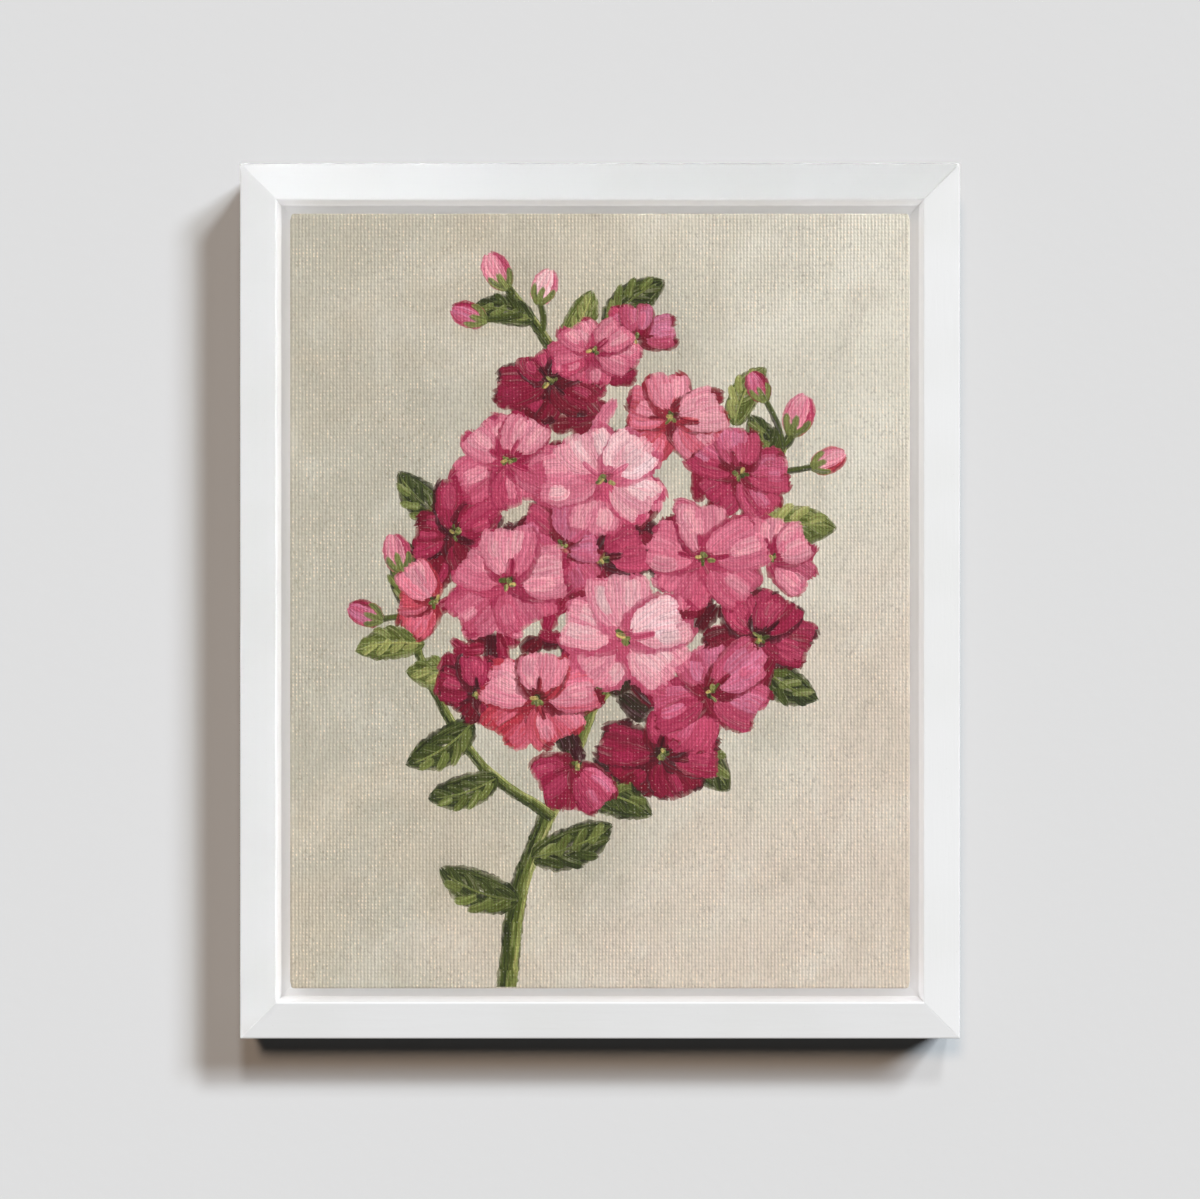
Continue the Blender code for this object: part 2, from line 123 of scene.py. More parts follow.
class Shader:
    """A material's node tree, made a node at a time."""

    def __init__(self, name: str) -> None:
        """Starts a material with a Principled shader."""
        self.material = bpy.data.materials.new(name)
        self.material.use_nodes = True
        self.tree = self.material.node_tree
        self.surface = self.tree.nodes["Principled BSDF"]
        self.output = self.tree.nodes["Material Output"]

    def node(self, kind: str, **settings: object) -> bpy.types.Node:
        """Adds a node and sets its properties."""
        made = self.tree.nodes.new(kind)
        for key, value in settings.items():
            setattr(made, key, value)
        return made

    def feed(self, target: Socket, value: object) -> None:
        """Links a socket to the target, or sets the target to a plain value."""
        if isinstance(value, Socket):
            self.tree.links.new(value, target)
        else:
            target.default_value = value

    def fix(self, **values: object) -> None:
        """Sets plain values on the Principled shader. Underscores stand for spaces."""
        for key, value in values.items():
            self.surface.inputs[key.replace("_", " ")].default_value = value

    def place(self) -> Socket:
        """The point of the surface in the row frame, in metres."""
        return self.node("ShaderNodeTexCoord").outputs["Object"]

    def attribute(self, name: str) -> bpy.types.Node:
        """A stored attribute of the mesh."""
        return self.node("ShaderNodeAttribute", attribute_name=name)

    def apart(self, vector: Socket) -> Sequence[Socket]:
        """The three parts of a vector."""
        made = self.node("ShaderNodeSeparateXYZ")
        self.feed(made.inputs[0], vector)
        return made.outputs

    def stretched(self, vector: Socket, scale: Sequence[float]) -> Socket:
        """A vector times a scale of its own on each axis."""
        made = self.node("ShaderNodeVectorMath", operation="MULTIPLY")
        self.feed(made.inputs[0], vector)
        made.inputs[1].default_value = scale
        return made.outputs[0]

    def maths(self, operation: str, *values: Value) -> Socket:
        """One step of arithmetic on one, two or three values."""
        made = self.node("ShaderNodeMath", operation=operation)
        for socket, value in zip(made.inputs, values):
            self.feed(socket, value)
        return made.outputs[0]

    def times(self, first: Value, second: Value) -> Socket:
        """One value times another."""
        return self.maths("MULTIPLY", first, second)

    def plus(self, first: Value, second: Value) -> Socket:
        """One value and another together."""
        return self.maths("ADD", first, second)

    def noise(self, vector: Socket, scale: float, detail: float = 2.0,
              rough: float = 0.5, warp: float = 0.0) -> Socket:
        """A noise value about 0.5.

        Args:
            vector: where it is read.
            scale: how many features fit in a unit of the vector.
            detail: how many finer layers it has.
            rough: how strong the finer layers are.
            warp: how far it is distorted.

        Returns:
            The value's socket.
        """
        made = self.node("ShaderNodeTexNoise")
        self.feed(made.inputs["Vector"], vector)
        made.inputs["Scale"].default_value = scale
        made.inputs["Detail"].default_value = detail
        made.inputs["Roughness"].default_value = rough
        made.inputs["Distortion"].default_value = warp
        return made.outputs["Fac"]

    def span(self, value: Value, low: float, high: float, to_low: float = 0.0,
             to_high: float = 1.0) -> Socket:
        """Maps a value's range onto another smoothly, and holds it at the ends."""
        made = self.node("ShaderNodeMapRange", interpolation_type="SMOOTHSTEP")
        self.feed(made.inputs["Value"], value)
        for key, number in (("From Min", low), ("From Max", high), ("To Min", to_low), ("To Max", to_high)):
            made.inputs[key].default_value = number
        return made.outputs["Result"]

    def mix(self, factor: Value, first: object, second: object, blend: str = "MIX") -> Socket:
        """Mixes two colours, each a socket or a plain colour."""
        made = self.node("ShaderNodeMix", data_type="RGBA", blend_type=blend)
        self.feed(made.inputs["Factor"], factor)
        for socket, value in ((made.inputs[6], first), (made.inputs[7], second)):
            self.feed(socket, value if isinstance(value, Socket) else (*value, 1.0))
        return made.outputs[2]

    def bump(self, height: Socket, depth: float, below: Socket | None = None) -> Socket:
        """A normal from a height.

        Args:
            height: the height's socket, from 0 to 1.
            depth: how many metres a height of 1 stands for.
            below: the normal of a coarser relief that this one lies on.

        Returns:
            The normal's socket.
        """
        made = self.node("ShaderNodeBump")
        made.inputs["Strength"].default_value = 1.0
        made.inputs["Distance"].default_value = depth
        self.feed(made.inputs["Height"], height)
        if below is not None:
            self.feed(made.inputs["Normal"], below)
        return made.outputs[0]

    def finish(self, colour: object, roughness: Value, normal: Socket | None = None) -> Material:
        """Feeds the Principled shader and gives the material."""
        self.feed(self.surface.inputs["Base Color"], colour)
        self.feed(self.surface.inputs["Roughness"], roughness)
        if normal is not None:
            self.feed(self.surface.inputs["Normal"], normal)
        return self.material


class GrainAxis(Enum):
    """The axis that a rail or bar runs along, which its grain follows."""

    LEVEL = (1.0, 6.0, 14.0)
    UPRIGHT = (14.0, 6.0, 1.0)


@dataclass(frozen=True)
class Weave:
    """The ribbed cotton weave, told by its pitches in metres."""

    rib_pitch: float = 0.00113
    pick_pitch: float = 0.00116
    wander: float = 0.00040
    wander_scale: float = 170.0
    crossing: float = 0.22
    gaps: float = 0.50
    lump_scale: tuple[float, float, float] = (1000.0, 300.0, 820.0)

    def height(self, shader: Shader) -> Socket:
        """The relief of the threads, from 0 in the pits to 1 on the ribs.

        Args:
            shader: the tree that the nodes go into.

        Returns:
            The height's socket.
        """
        place = shader.place()
        x, _, z = shader.apart(place)
        sway = shader.maths("SUBTRACT", shader.noise(place, self.wander_scale, 2.0), 0.5)
        x = shader.plus(x, shader.times(sway, self.wander))
        z = shader.maths("SUBTRACT", z, shader.times(sway, self.wander))
        rib = shader.maths("COSINE", shader.times(x, 2 * math.pi / self.rib_pitch))
        rib = shader.maths("MULTIPLY_ADD", rib, 0.5, 0.5)
        pick = shader.maths("COSINE", shader.times(z, 2 * math.pi / self.pick_pitch))
        over = shader.maths("MULTIPLY_ADD", pick, self.crossing, 1.0 - self.crossing)
        lumps = shader.noise(shader.stretched(place, self.lump_scale), 1.0, 2.0, 0.65)
        over = shader.times(over, shader.span(lumps, 0.30, 0.66, 1.0 - self.gaps, 1.0))
        return shader.times(rib, over)


@dataclass(frozen=True)
class SatinWhitePaint:
    """Sprayed white paint on sanded wood: nearly even, with a trace of grain and dust."""

    axis: GrainAxis
    colour: Colour = linear(228, 228, 229)
    shade: Colour = linear(225, 225, 225)
    roughness: float = 0.36

    def material(self) -> Material:
        """Makes the material."""
        shader = Shader(f"satin_white_{self.axis.name.lower()}")
        place = shader.place()
        grain = shader.noise(shader.stretched(place, self.axis.value), 60.0, 4.0, 0.6)
        cloud = shader.noise(place, 26.0, 2.0)
        peel = shader.noise(place, 900.0, 2.0)
        speck = shader.span(shader.noise(place, 1500.0, 1.0), 0.74, 0.80)
        tone = shader.mix(shader.span(cloud, 0.35, 0.7), self.colour, self.shade)
        tone = shader.mix(shader.times(speck, 0.12), tone, linear(150, 146, 138))
        rough = shader.span(grain, 0.3, 0.7, self.roughness - 0.05, self.roughness + 0.08)
        relief = shader.bump(grain, 0.00004)
        relief = shader.bump(peel, 0.000012, relief)
        shader.fix(Coat_Weight=0.05, Coat_Roughness=0.3)
        return shader.finish(tone, rough, relief)


@dataclass(frozen=True)
class OilGround:
    """The painted ground: soft greige clouds, paler to the right, over the weave, with painted shade in the
    weave's pits and painted glints on its threads.
    """

    weave: Weave
    half_width: float
    half_height: float
    middle_z: float
    greige: Colour = linear(200, 189, 169)
    cool: Colour = linear(191, 185, 168)
    cream: Colour = linear(224, 218, 203)
    peach: Colour = linear(215, 201, 185)
    # The last two tones are painted light: painted glints on the threads' tops and painted shade in small
    # pits.
    speck: Colour = linear(240, 222, 198)
    pit_shade_tone: Colour = linear(138, 124, 104)
    relief: float = 0.00018

    def material(self) -> Material:
        """Makes the material."""
        shader = Shader("oil_ground")
        place = shader.place()
        x, _, z = shader.apart(place)
        across = shader.maths("DIVIDE", x, self.half_width)
        up = shader.maths("DIVIDE", shader.maths("SUBTRACT", z, self.middle_z), self.half_height)
        soft = shader.noise(place, 14.0, 3.0, 0.55, 0.6)
        scrub = shader.noise(shader.stretched(place, (1.0, 1.0, 0.45)), 75.0, 3.0, 0.6, 1.2)
        lean = shader.plus(shader.times(across, 0.45), soft)
        tone = shader.mix(shader.span(soft, 0.40, 0.62), self.cool, self.greige)
        tone = shader.mix(shader.span(lean, 0.42, 0.98), tone, self.cream)
        rightwards, upwards = shader.times(across, 0.5), shader.times(up, 0.55)
        warm = shader.maths("SUBTRACT", rightwards, upwards)
        warm = shader.plus(warm, shader.noise(place, 22.0, 2.0))
        tone = shader.mix(shader.span(warm, 0.62, 1.25), tone, self.peach)
        light = blended(self.cream, WHITE, 0.15)
        tone = shader.mix(shader.span(scrub, 0.52, 0.78, 0.0, 0.30), tone, light)
        dull = blended(self.greige, BLACK, 0.30)
        tone = shader.mix(shader.span(scrub, 0.47, 0.27, 0.0, 0.28), tone, dull)
        brushed = shader.attribute("brushwork").outputs["Fac"]
        tone = shader.mix(shader.span(brushed, 0.0, 1.0, 0.0, 0.34), tone, light)
        tone = shader.mix(shader.span(brushed, 0.0, -1.0, 0.0, 0.26), tone, dull)
        threads = self.weave.height(shader)
        grit = shader.noise(shader.stretched(place, (1.0, 1.0, 0.7)), 1250.0, 1.0, 0.5)
        patch = shader.noise(place, 62.0, 3.0, 0.7)
        # Painted shade: the tone darkens towards a dark greige where the threads and grit stand low, in the
        # pits of the weave.
        catch = shader.plus(threads, shader.times(grit, 0.8))
        pits = shader.span(catch, 0.25, 0.85, 0.32, 0.0)
        tone = shader.mix(pits, tone, blended(self.greige, BLACK, 0.55))
        # Painted highlight: glints of a pale colour on the tops of the threads, in patches.
        thread_glints = shader.span(shader.times(threads, grit), 0.28, 0.50)
        thread_glints = shader.times(thread_glints, shader.span(patch, 0.40, 0.62, 0.32, 0.90))
        tone = shader.mix(thread_glints, tone, self.speck)
        # Painted shade: small dark spots where the fine grit stands lowest.
        grit_pit_shade = shader.span(grit, 0.40, 0.28)
        grit_pit_shade = shader.times(grit_pit_shade, shader.span(patch, 0.46, 0.66, 0.30, 0.75))
        tone = shader.mix(shader.times(grit_pit_shade, 0.42), tone, self.pit_shade_tone)
        relief = shader.bump(scrub, 0.00022)
        relief = shader.bump(threads, self.relief, relief)
        relief = shader.bump(grit, 0.00009, relief)
        shader.fix(Specular_IOR_Level=0.35)
        return shader.finish(tone, shader.span(scrub, 0.3, 0.7, 0.72, 0.56), relief)


@dataclass(frozen=True)
class OilPaint:
    """Thick oil paint in separate strokes, each with two colours that the bristles draw out, with painted
    shade in its grooves and pits and painted highlights on its ridges and threads.
    """

    weave: Weave
    roughness: float = 0.42

    def material(self) -> Material:
        """Makes the material, which reads each stroke's colours and its bristles' place."""
        shader = Shader("oil_paint")
        place = shader.place()
        first = shader.attribute("paint").outputs["Color"]
        second = shader.attribute("paint_streak").outputs["Color"]
        bristles = shader.attribute("bristles").outputs["Vector"]
        fine = shader.noise(shader.stretched(bristles, (3200.0, 130.0, 1.0)), 1.0, 2.0, 0.65)
        broad = shader.noise(shader.stretched(bristles, (900.0, 90.0, 1.0)), 1.0, 1.0)
        drawn = shader.times(fine, 0.45)
        drawn = shader.plus(drawn, shader.times(broad, 0.55))
        tone = shader.mix(shader.span(drawn, 0.42, 0.62), first, second)
        # Painted shade in the bristle grooves, where the fine bristle relief lies low.
        bristle_groove_shade = shader.mix(1.0, tone, (0.66, 0.52, 0.56), "MULTIPLY")
        tone = shader.mix(shader.span(fine, 0.50, 0.30, 0.0, 0.75), tone, bristle_groove_shade)
        # Painted highlight: a paler pink on the bristle ridges, where the relief stands highest.
        bristle_ridge_highlight = shader.mix(0.18, tone, linear(250, 226, 222))
        tone = shader.mix(shader.span(drawn, 0.54, 0.70, 0.0, 0.70), tone, bristle_ridge_highlight)
        threads = self.weave.height(shader)
        grit = shader.noise(place, 1300.0, 2.0, 0.6)
        # Painted shade: darker in the pits of the weave, where threads and grit stand low.
        catch = shader.plus(threads, shader.times(grit, 0.8))
        weave_pit_shade_tone = shader.mix(1.0, tone, (0.46, 0.30, 0.34), "MULTIPLY")
        tone = shader.mix(shader.span(catch, 0.74, 0.34, 0.0, 0.50), tone, weave_pit_shade_tone)
        # Painted highlight: pale glints on the tops of the threads.
        paler = shader.mix(0.50, tone, linear(250, 232, 222))
        thread_glints = shader.span(shader.times(threads, grit), 0.34, 0.56, 0.0, 0.50)
        tone = shader.mix(thread_glints, tone, paler)
        relief = shader.bump(threads, 0.00012)
        relief = shader.bump(drawn, 0.00040, relief)
        relief = shader.bump(grit, 0.00012, relief)
        rough = shader.span(drawn, 0.35, 0.65, self.roughness + 0.12, self.roughness - 0.08)
        shader.fix(Specular_IOR_Level=0.30)
        return shader.finish(tone, rough, relief)


@dataclass(frozen=True)
class RawCloth:
    """Unpainted cotton duck, with seeds and thick threads, and painted shade between its threads."""

    weave: Weave
    colour: Colour = linear(214, 203, 180)
    dark: Colour = linear(158, 140, 108)

    def material(self) -> Material:
        """Makes the material."""
        shader = Shader("raw_cotton")
        place = shader.place()
        threads = self.weave.height(shader)
        slub = shader.noise(shader.stretched(place, (900.0, 900.0, 60.0)), 1.0, 2.0)
        fibre = shader.noise(place, 2600.0, 3.0, 0.7)
        seeds = shader.span(shader.noise(place, 420.0, 2.0, 0.7), 0.70, 0.76)
        thick = blended(self.colour, self.dark, 0.5)
        tone = shader.mix(shader.span(slub, 0.3, 0.7, 0.0, 0.45), self.colour, thick)
        # Painted shade: darker in the pits between the threads.
        tone = shader.mix(shader.span(threads, 0.0, 0.6, 0.55, 0.0), tone, self.dark)
        tone = shader.mix(shader.times(seeds, 0.7), tone, linear(112, 86, 54))
        relief = shader.bump(threads, 0.00018)
        relief = shader.bump(fibre, 0.00004, relief)
        shader.fix(Sheen_Weight=0.15, Sheen_Roughness=0.6, Specular_IOR_Level=0.2)
        return shader.finish(tone, shader.span(fibre, 0.3, 0.7, 0.95, 0.82), relief)


@dataclass(frozen=True)
class Timber:
    """Planed raw wood with rings drawn out along the bar."""

    name: str
    axis: GrainAxis
    pale: Colour
    dark: Colour
    ring_scale: float = 55.0

    def material(self) -> Material:
        """Makes the material."""
        shader = Shader(f"{self.name}_{self.axis.name.lower()}")
        place = shader.place()
        run = shader.stretched(place, self.axis.value)
        rings = shader.noise(run, self.ring_scale, 3.0, 0.55, 1.4)
        fine = shader.noise(run, self.ring_scale * 9, 3.0, 0.7)
        tone = shader.mix(shader.span(rings, 0.36, 0.66), self.pale, self.dark)
        pores = blended(self.dark, BLACK, 0.35)
        tone = shader.mix(shader.span(fine, 0.5, 0.75, 0.0, 0.4), tone, pores)
        relief = shader.bump(fine, 0.00005)
        return shader.finish(tone, shader.span(fine, 0.3, 0.7, 0.72, 0.55), relief)


@dataclass(frozen=True)
class PlatedMetal:
    """Plated steel with fine scratches and a few dull spots."""

    name: str
    colour: Colour
    tarnish: Colour
    roughness: float = 0.28

    def material(self) -> Material:
        """Makes the material."""
        shader = Shader(self.name)
        place = shader.place()
        scratch = shader.noise(shader.stretched(place, (700.0, 2600.0, 2600.0)), 1.0, 3.0, 0.7)
        spots = shader.noise(place, 520.0, 3.0, 0.6)
        tone = shader.mix(shader.span(spots, 0.52, 0.78, 0.0, 0.55), self.colour, self.tarnish)
        worn = shader.plus(scratch, spots)
        rough = shader.span(worn, 0.8, 1.3, self.roughness - 0.08, self.roughness + 0.22)
        shader.fix(Metallic=1.0)
        return shader.finish(tone, rough, shader.bump(scratch, 0.000012))


@dataclass(frozen=True)
class ClearRubber:
    """A soft milky pad, a little yellowed and dusty."""

    colour: Colour = linear(206, 204, 196)

    def material(self) -> Material:
        """Makes the material."""
        shader = Shader("bumper_rubber")
        place = shader.place()
        dust = shader.noise(place, 1400.0, 3.0, 0.7)
        haze = shader.noise(place, 320.0, 2.0)
        tone = shader.mix(shader.span(haze, 0.35, 0.7), self.colour, linear(188, 182, 164))
        tone = shader.mix(shader.span(dust, 0.62, 0.74, 0.0, 0.5), tone, linear(128, 122, 112))
        shader.fix(Subsurface_Weight=0.35, Subsurface_Scale=0.002, Coat_Weight=0.2, Coat_Roughness=0.3)
        return shader.finish(tone, shader.span(dust, 0.3, 0.7, 0.38, 0.55), shader.bump(dust, 0.00002))


def add_mesh(name: str, points: np.ndarray, faces: Sequence[Sequence[int]],
             crease: float = 35.0) -> Piece:
    """Makes an object of points and faces, shaded smooth up to an angle.

    Args:
        name: the piece's name.
        points: an array of places in the row frame.
        faces: the points of each face, turning so that the face looks out.
        crease: the angle in degrees from which an edge stays sharp.

    Returns:
        The new object, with its origin at the row frame's.
    """
    mesh = bpy.data.meshes.new(name)
    mesh.from_pydata(np.asarray(points, float).tolist(), [], [list(map(int, f)) for f in faces])
    mesh.shade_smooth()
    mesh.set_sharp_from_angle(angle=math.radians(crease))
    made = bpy.data.objects.new(name, mesh)
    bpy.context.scene.collection.objects.link(made)
    return made


def face_out(piece: Piece) -> None:
    """Turns every face of a closed piece to look out."""
    work = bmesh.new()
    work.from_mesh(piece.data)
    bmesh.ops.recalc_face_normals(work, faces=work.faces)
    work.to_mesh(piece.data)
    work.free()


def lofted(loops: Sequence[np.ndarray]) -> tuple[np.ndarray, list[tuple[int, ...]]]:
    """Points and faces of a closed skin over loops of equally many points, capped at both ends."""
    count = len(loops[0])
    points = np.concatenate(loops)
    here = np.arange(count)
    following = (here + 1) % count
    faces: list[tuple[int, ...]] = []
    for k in range(len(loops) - 1):
        low, high = k * count, (k + 1) * count
        faces += list(zip(low + here, low + following, high + following, high + here))
    faces.append(tuple(reversed(range(count))))
    faces.append(tuple(range(len(points) - count, len(points))))
    return points, faces


def arc(centre: Point, radius: float, start: float, end: float, steps: int = 6) -> list[Point]:
    """Points of an arc in a plane, angles in degrees."""
    angles = np.radians(np.linspace(start, end, steps + 1))
    return [(centre[0] + radius * math.cos(a), centre[1] + radius * math.sin(a)) for a in angles]


def rounded(corners: Sequence[Point], radii: Sequence[float], steps: int = 5,
            hold: float = 0.00012) -> list[Point]:
    """An outline whose corners are arcs, with a point beside each arc that keeps the next flat flat.

    Args:
        corners: the sharp outline's corners in order.
        radii: the radius at each corner.
        steps: how many steps an arc has.
        hold: how far the extra points lie from the arcs.

    Returns:
        The rounded outline's points.
    """
    points: list[Point] = []
    for k, (corner, radius) in enumerate(zip(corners, radii)):
        here = Vector(corner)
        back = (Vector(corners[k - 1]) - here).normalized()
        onward = (Vector(corners[(k + 1) % len(corners)]) - here).normalized()
        half = back.angle(onward) / 2
        reach = radius / math.tan(half)
        centre = here + (back + onward).normalized() * radius / math.sin(half)
        spots = [here + way * reach - centre for way in (back, onward)]
        start, end = (math.degrees(math.atan2(spot.y, spot.x)) for spot in spots)
        sweep = (end - start + 180) % 360 - 180
        points.append(tuple(here + back * (reach + hold)))
        points += arc(tuple(centre), radius, start, start + sweep, steps)
        points.append(tuple(here + onward * (reach + hold)))
    return points


def prism(name: str, plan: Sequence[Point], low_y: float, high_y: float) -> Piece:
    """A closed piece with an outline of (x, z) points, between two depths."""
    flat = np.array(plan, float)
    loops = [np.stack([flat[:, 0], np.full(len(flat), y), flat[:, 1]], -1) for y in (low_y, high_y)]
    piece = add_mesh(name, *lofted(loops))
    face_out(piece)
    return piece


def lathed(name: str, profile: Sequence[Point], x: float, z: float, sides: int) -> Piece:
    """A closed piece with a profile of (radius, y) points, turned about a line along Y."""
    turns = np.linspace(0, 2 * math.pi, sides, endpoint=False)
    cos, sin = np.cos(turns), np.sin(turns)
    loops = [np.stack([x + r * cos, np.full(sides, y), z + r * sin], -1) for r, y in profile]
    piece = add_mesh(name, *lofted(loops), crease=32.0)
    face_out(piece)
    return piece


def domed(radius: float, crown: float, drop: float) -> list[Point]:
    """A round head's profile of (radius, y) points, from its crown to its rim, which lies a drop lower."""
    angles = np.linspace(0.06, math.pi / 2, 8)
    return [(radius * math.sin(a), crown - drop * (1 - math.cos(a))) for a in angles]


def spot(low: Vector, high: Vector) -> Point:
    """The middle of a box as seen from the front, as x and z."""
    return (low.x + high.x) / 2, (low.z + high.z) / 2


def modified(piece: Piece) -> None:
    """Applies every modifier of a piece to its mesh."""
    graph = bpy.context.evaluated_depsgraph_get()
    mesh = bpy.data.meshes.new_from_object(piece.evaluated_get(graph))
    piece.modifiers.clear()
    piece.data = mesh


def carve(piece: Piece, cutters: Sequence[Piece]) -> None:
    """Cuts the cutters' space out of a piece, and removes the cutters."""
    for cutter in cutters:
        step = piece.modifiers.new(cutter.name, "BOOLEAN")
        step.operation = "DIFFERENCE"
        step.solver = "EXACT"
        step.object = cutter
    bpy.context.view_layer.update()
    modified(piece)
    for cutter in cutters:
        bpy.data.objects.remove(cutter)


def soften(piece: Piece, width: float, segments: int = 2, angle: float = 40.0) -> None:
    """Rounds a piece's sharp edges."""
    step = piece.modifiers.new("eased_edges", "BEVEL")
    step.width = width
    step.segments = segments
    step.limit_method = "ANGLE"
    step.angle_limit = math.radians(angle)
    step.use_clamp_overlap = True
    bpy.context.view_layer.update()
    modified(piece)
    piece.data.shade_smooth()
    piece.data.set_sharp_from_angle(angle=math.radians(angle + 10))


def seat(piece: Piece, slot: str, *nodes: str, materials: Sequence[Material]) -> None:
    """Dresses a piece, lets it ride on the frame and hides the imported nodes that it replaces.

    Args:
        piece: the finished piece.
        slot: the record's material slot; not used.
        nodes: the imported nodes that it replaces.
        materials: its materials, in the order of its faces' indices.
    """
    for material in materials:
        piece.data.materials.append(material)
    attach(piece, ROOT)
    if nodes:
        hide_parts(*nodes)
    LOG.info("%s: %d faces", piece.name, len(piece.data.polygons))


@dataclass(frozen=True)
class Side:
    """One side of the picture, seen from the front."""

    name: str
    turn: float
    upright: bool

    @property
    def axis(self) -> GrainAxis:
        """The way its wood runs."""
        return GrainAxis.UPRIGHT if self.upright else GrainAxis.LEVEL

    def placed(self, along: np.ndarray, depth: np.ndarray, out: np.ndarray, middle: Vector) -> np.ndarray:
        """Carries points of the top side round to this side.

        Args:
            along: places along the side, from its middle.
            depth: the points' Y.
            out: how far out from the picture's middle they lie.
            middle: the picture's middle.

        Returns:
            An array of points in the row frame.
        """
        along, depth, out = np.broadcast_arrays(along, depth, out)
        cos, sin = math.cos(self.turn), math.sin(self.turn)
        return np.stack([along * cos + out * sin, depth, out * cos - along * sin + middle.z], -1)


SIDES = (
    Side("top", 0.0, False),
    Side("right", math.pi / 2, True),
    Side("bottom", math.pi, False),
    Side("left", -math.pi / 2, True),
)


@dataclass(frozen=True)
class Layout:
    """The sizes that every piece shares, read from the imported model."""

    half_width: float
    half_height: float
    middle: Vector
    rim_y: float
    back_y: float
    rail_width: float
    canvas_half_width: float
    canvas_half_height: float
    canvas_front_y: float
    canvas_back_y: float

    @classmethod
    def from_model(cls) -> "Layout":
        """Reads the boxes of the rails and of the canvas."""
        top_low, top_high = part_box("rail_top")
        right_low, right_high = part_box("rail_right")
        canvas_low, canvas_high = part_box("canvas")
        half_height = (right_high.z - right_low.z) / 2
        middle = (canvas_low + canvas_high) / 2
        return cls(
            half_width=right_high.x,
            half_height=top_high.z - middle.z,
            middle=Vector((0.0, 0.0, middle.z)),
            rim_y=top_low.y,
            back_y=top_high.y,
            rail_width=top_high.z - top_low.z,
            canvas_half_width=canvas_high.x,
            canvas_half_height=canvas_high.z - middle.z,
            canvas_front_y=canvas_low.y,
            canvas_back_y=canvas_high.y,
        )


@dataclass
class MitredMember:
    """A stick of one side whose ends meet the next sides at 45 degrees."""

    side: Side
    profile: list[Point]
    half_length: float
    half_across: float
    middle: Vector
    groove: float
    stations: int = 3

    def loop(self, end: float, eased: float) -> np.ndarray:
        """The section at one station.

        Args:
            end: where the station lies, from -1 at one mitre to 1 at the other.
            eased: how far the section shrinks, which opens a fine groove at the mitre.

        Returns:
            The section's points in the row frame.
        """
        inset, depth = np.array(self.profile).T
        centre_in, centre_deep = inset.mean(), depth.mean()
        reach = np.hypot(inset - centre_in, depth - centre_deep)
        share = 1 - eased / np.maximum(reach, eased * 2 + TINY)
        inset = centre_in + (inset - centre_in) * share
        depth = centre_deep + (depth - centre_deep) * share
        along, out = end * (self.half_length - inset), self.half_across - inset
        return self.side.placed(along, depth, out, self.middle)

    def build(self, name: str) -> Piece:
        """Makes the stick with a fine groove at both mitres."""
        far, near, hold = (1 - self.groove / self.half_length * share for share in (0.4, 3.0, 6.0))
        inner = [-near, *np.linspace(-hold, hold, self.stations), near]
        plan = [(-far, self.groove), *[(end, 0.0) for end in inner], (far, self.groove)]
        points, faces = lofted([self.loop(end, eased) for end, eased in plan])
        piece = add_mesh(name, points, faces, crease=MITRE_CREASE)
        face_out(piece)
        return piece


@dataclass
class FloaterFrame:
    """The four white rails: a face that rises inwards, a wall, and the ledge under the canvas."""

    layout: Layout
    face_width: float = 0.0121
    base_thick: float = 0.0120
    face_rise: float = 0.0010
    arris: float = 0.00055
    foot_arris: float = 0.0006
    ledge_arris: float = 0.0004
    cove: float = 0.0003
    groove: float = 0.00006

    def profile(self) -> list[Point]:
        """The rail's section, as inset from the outer edge and depth."""
        back, rim = self.layout.back_y, self.layout.rim_y
        ledge, face, wide = back - self.base_thick, self.face_width, self.layout.rail_width
        corners = [(0, back), (0, rim + self.face_rise), (face, rim), (face, ledge)]
        corners += [(wide, ledge), (wide, back)]
        radii = [self.foot_arris, self.arris, self.arris, self.cove, self.ledge_arris, self.ledge_arris]
        return rounded(corners, radii)

    def build(self, fixings: "Fixings") -> None:
        """Makes and dresses the four rails.

        Args:
            fixings: what is let into the rails from behind.
        """
        for side in SIDES:
            halves = (self.layout.half_height, self.layout.half_width)
            halves = halves if side.upright else halves[::-1]
            member = MitredMember(side, self.profile(), *halves, self.layout.middle, self.groove)
            rail = member.build(f"frame_rail_{side.name}")
            carve(rail, fixings.room_in_rail(side))
            rail.data.set_sharp_from_angle(angle=math.radians(MITRE_CREASE))
            finish = SatinWhitePaint(side.axis).material()
            seat(rail, "white_frame_paint", f"rail_{side.name}", materials=[finish])


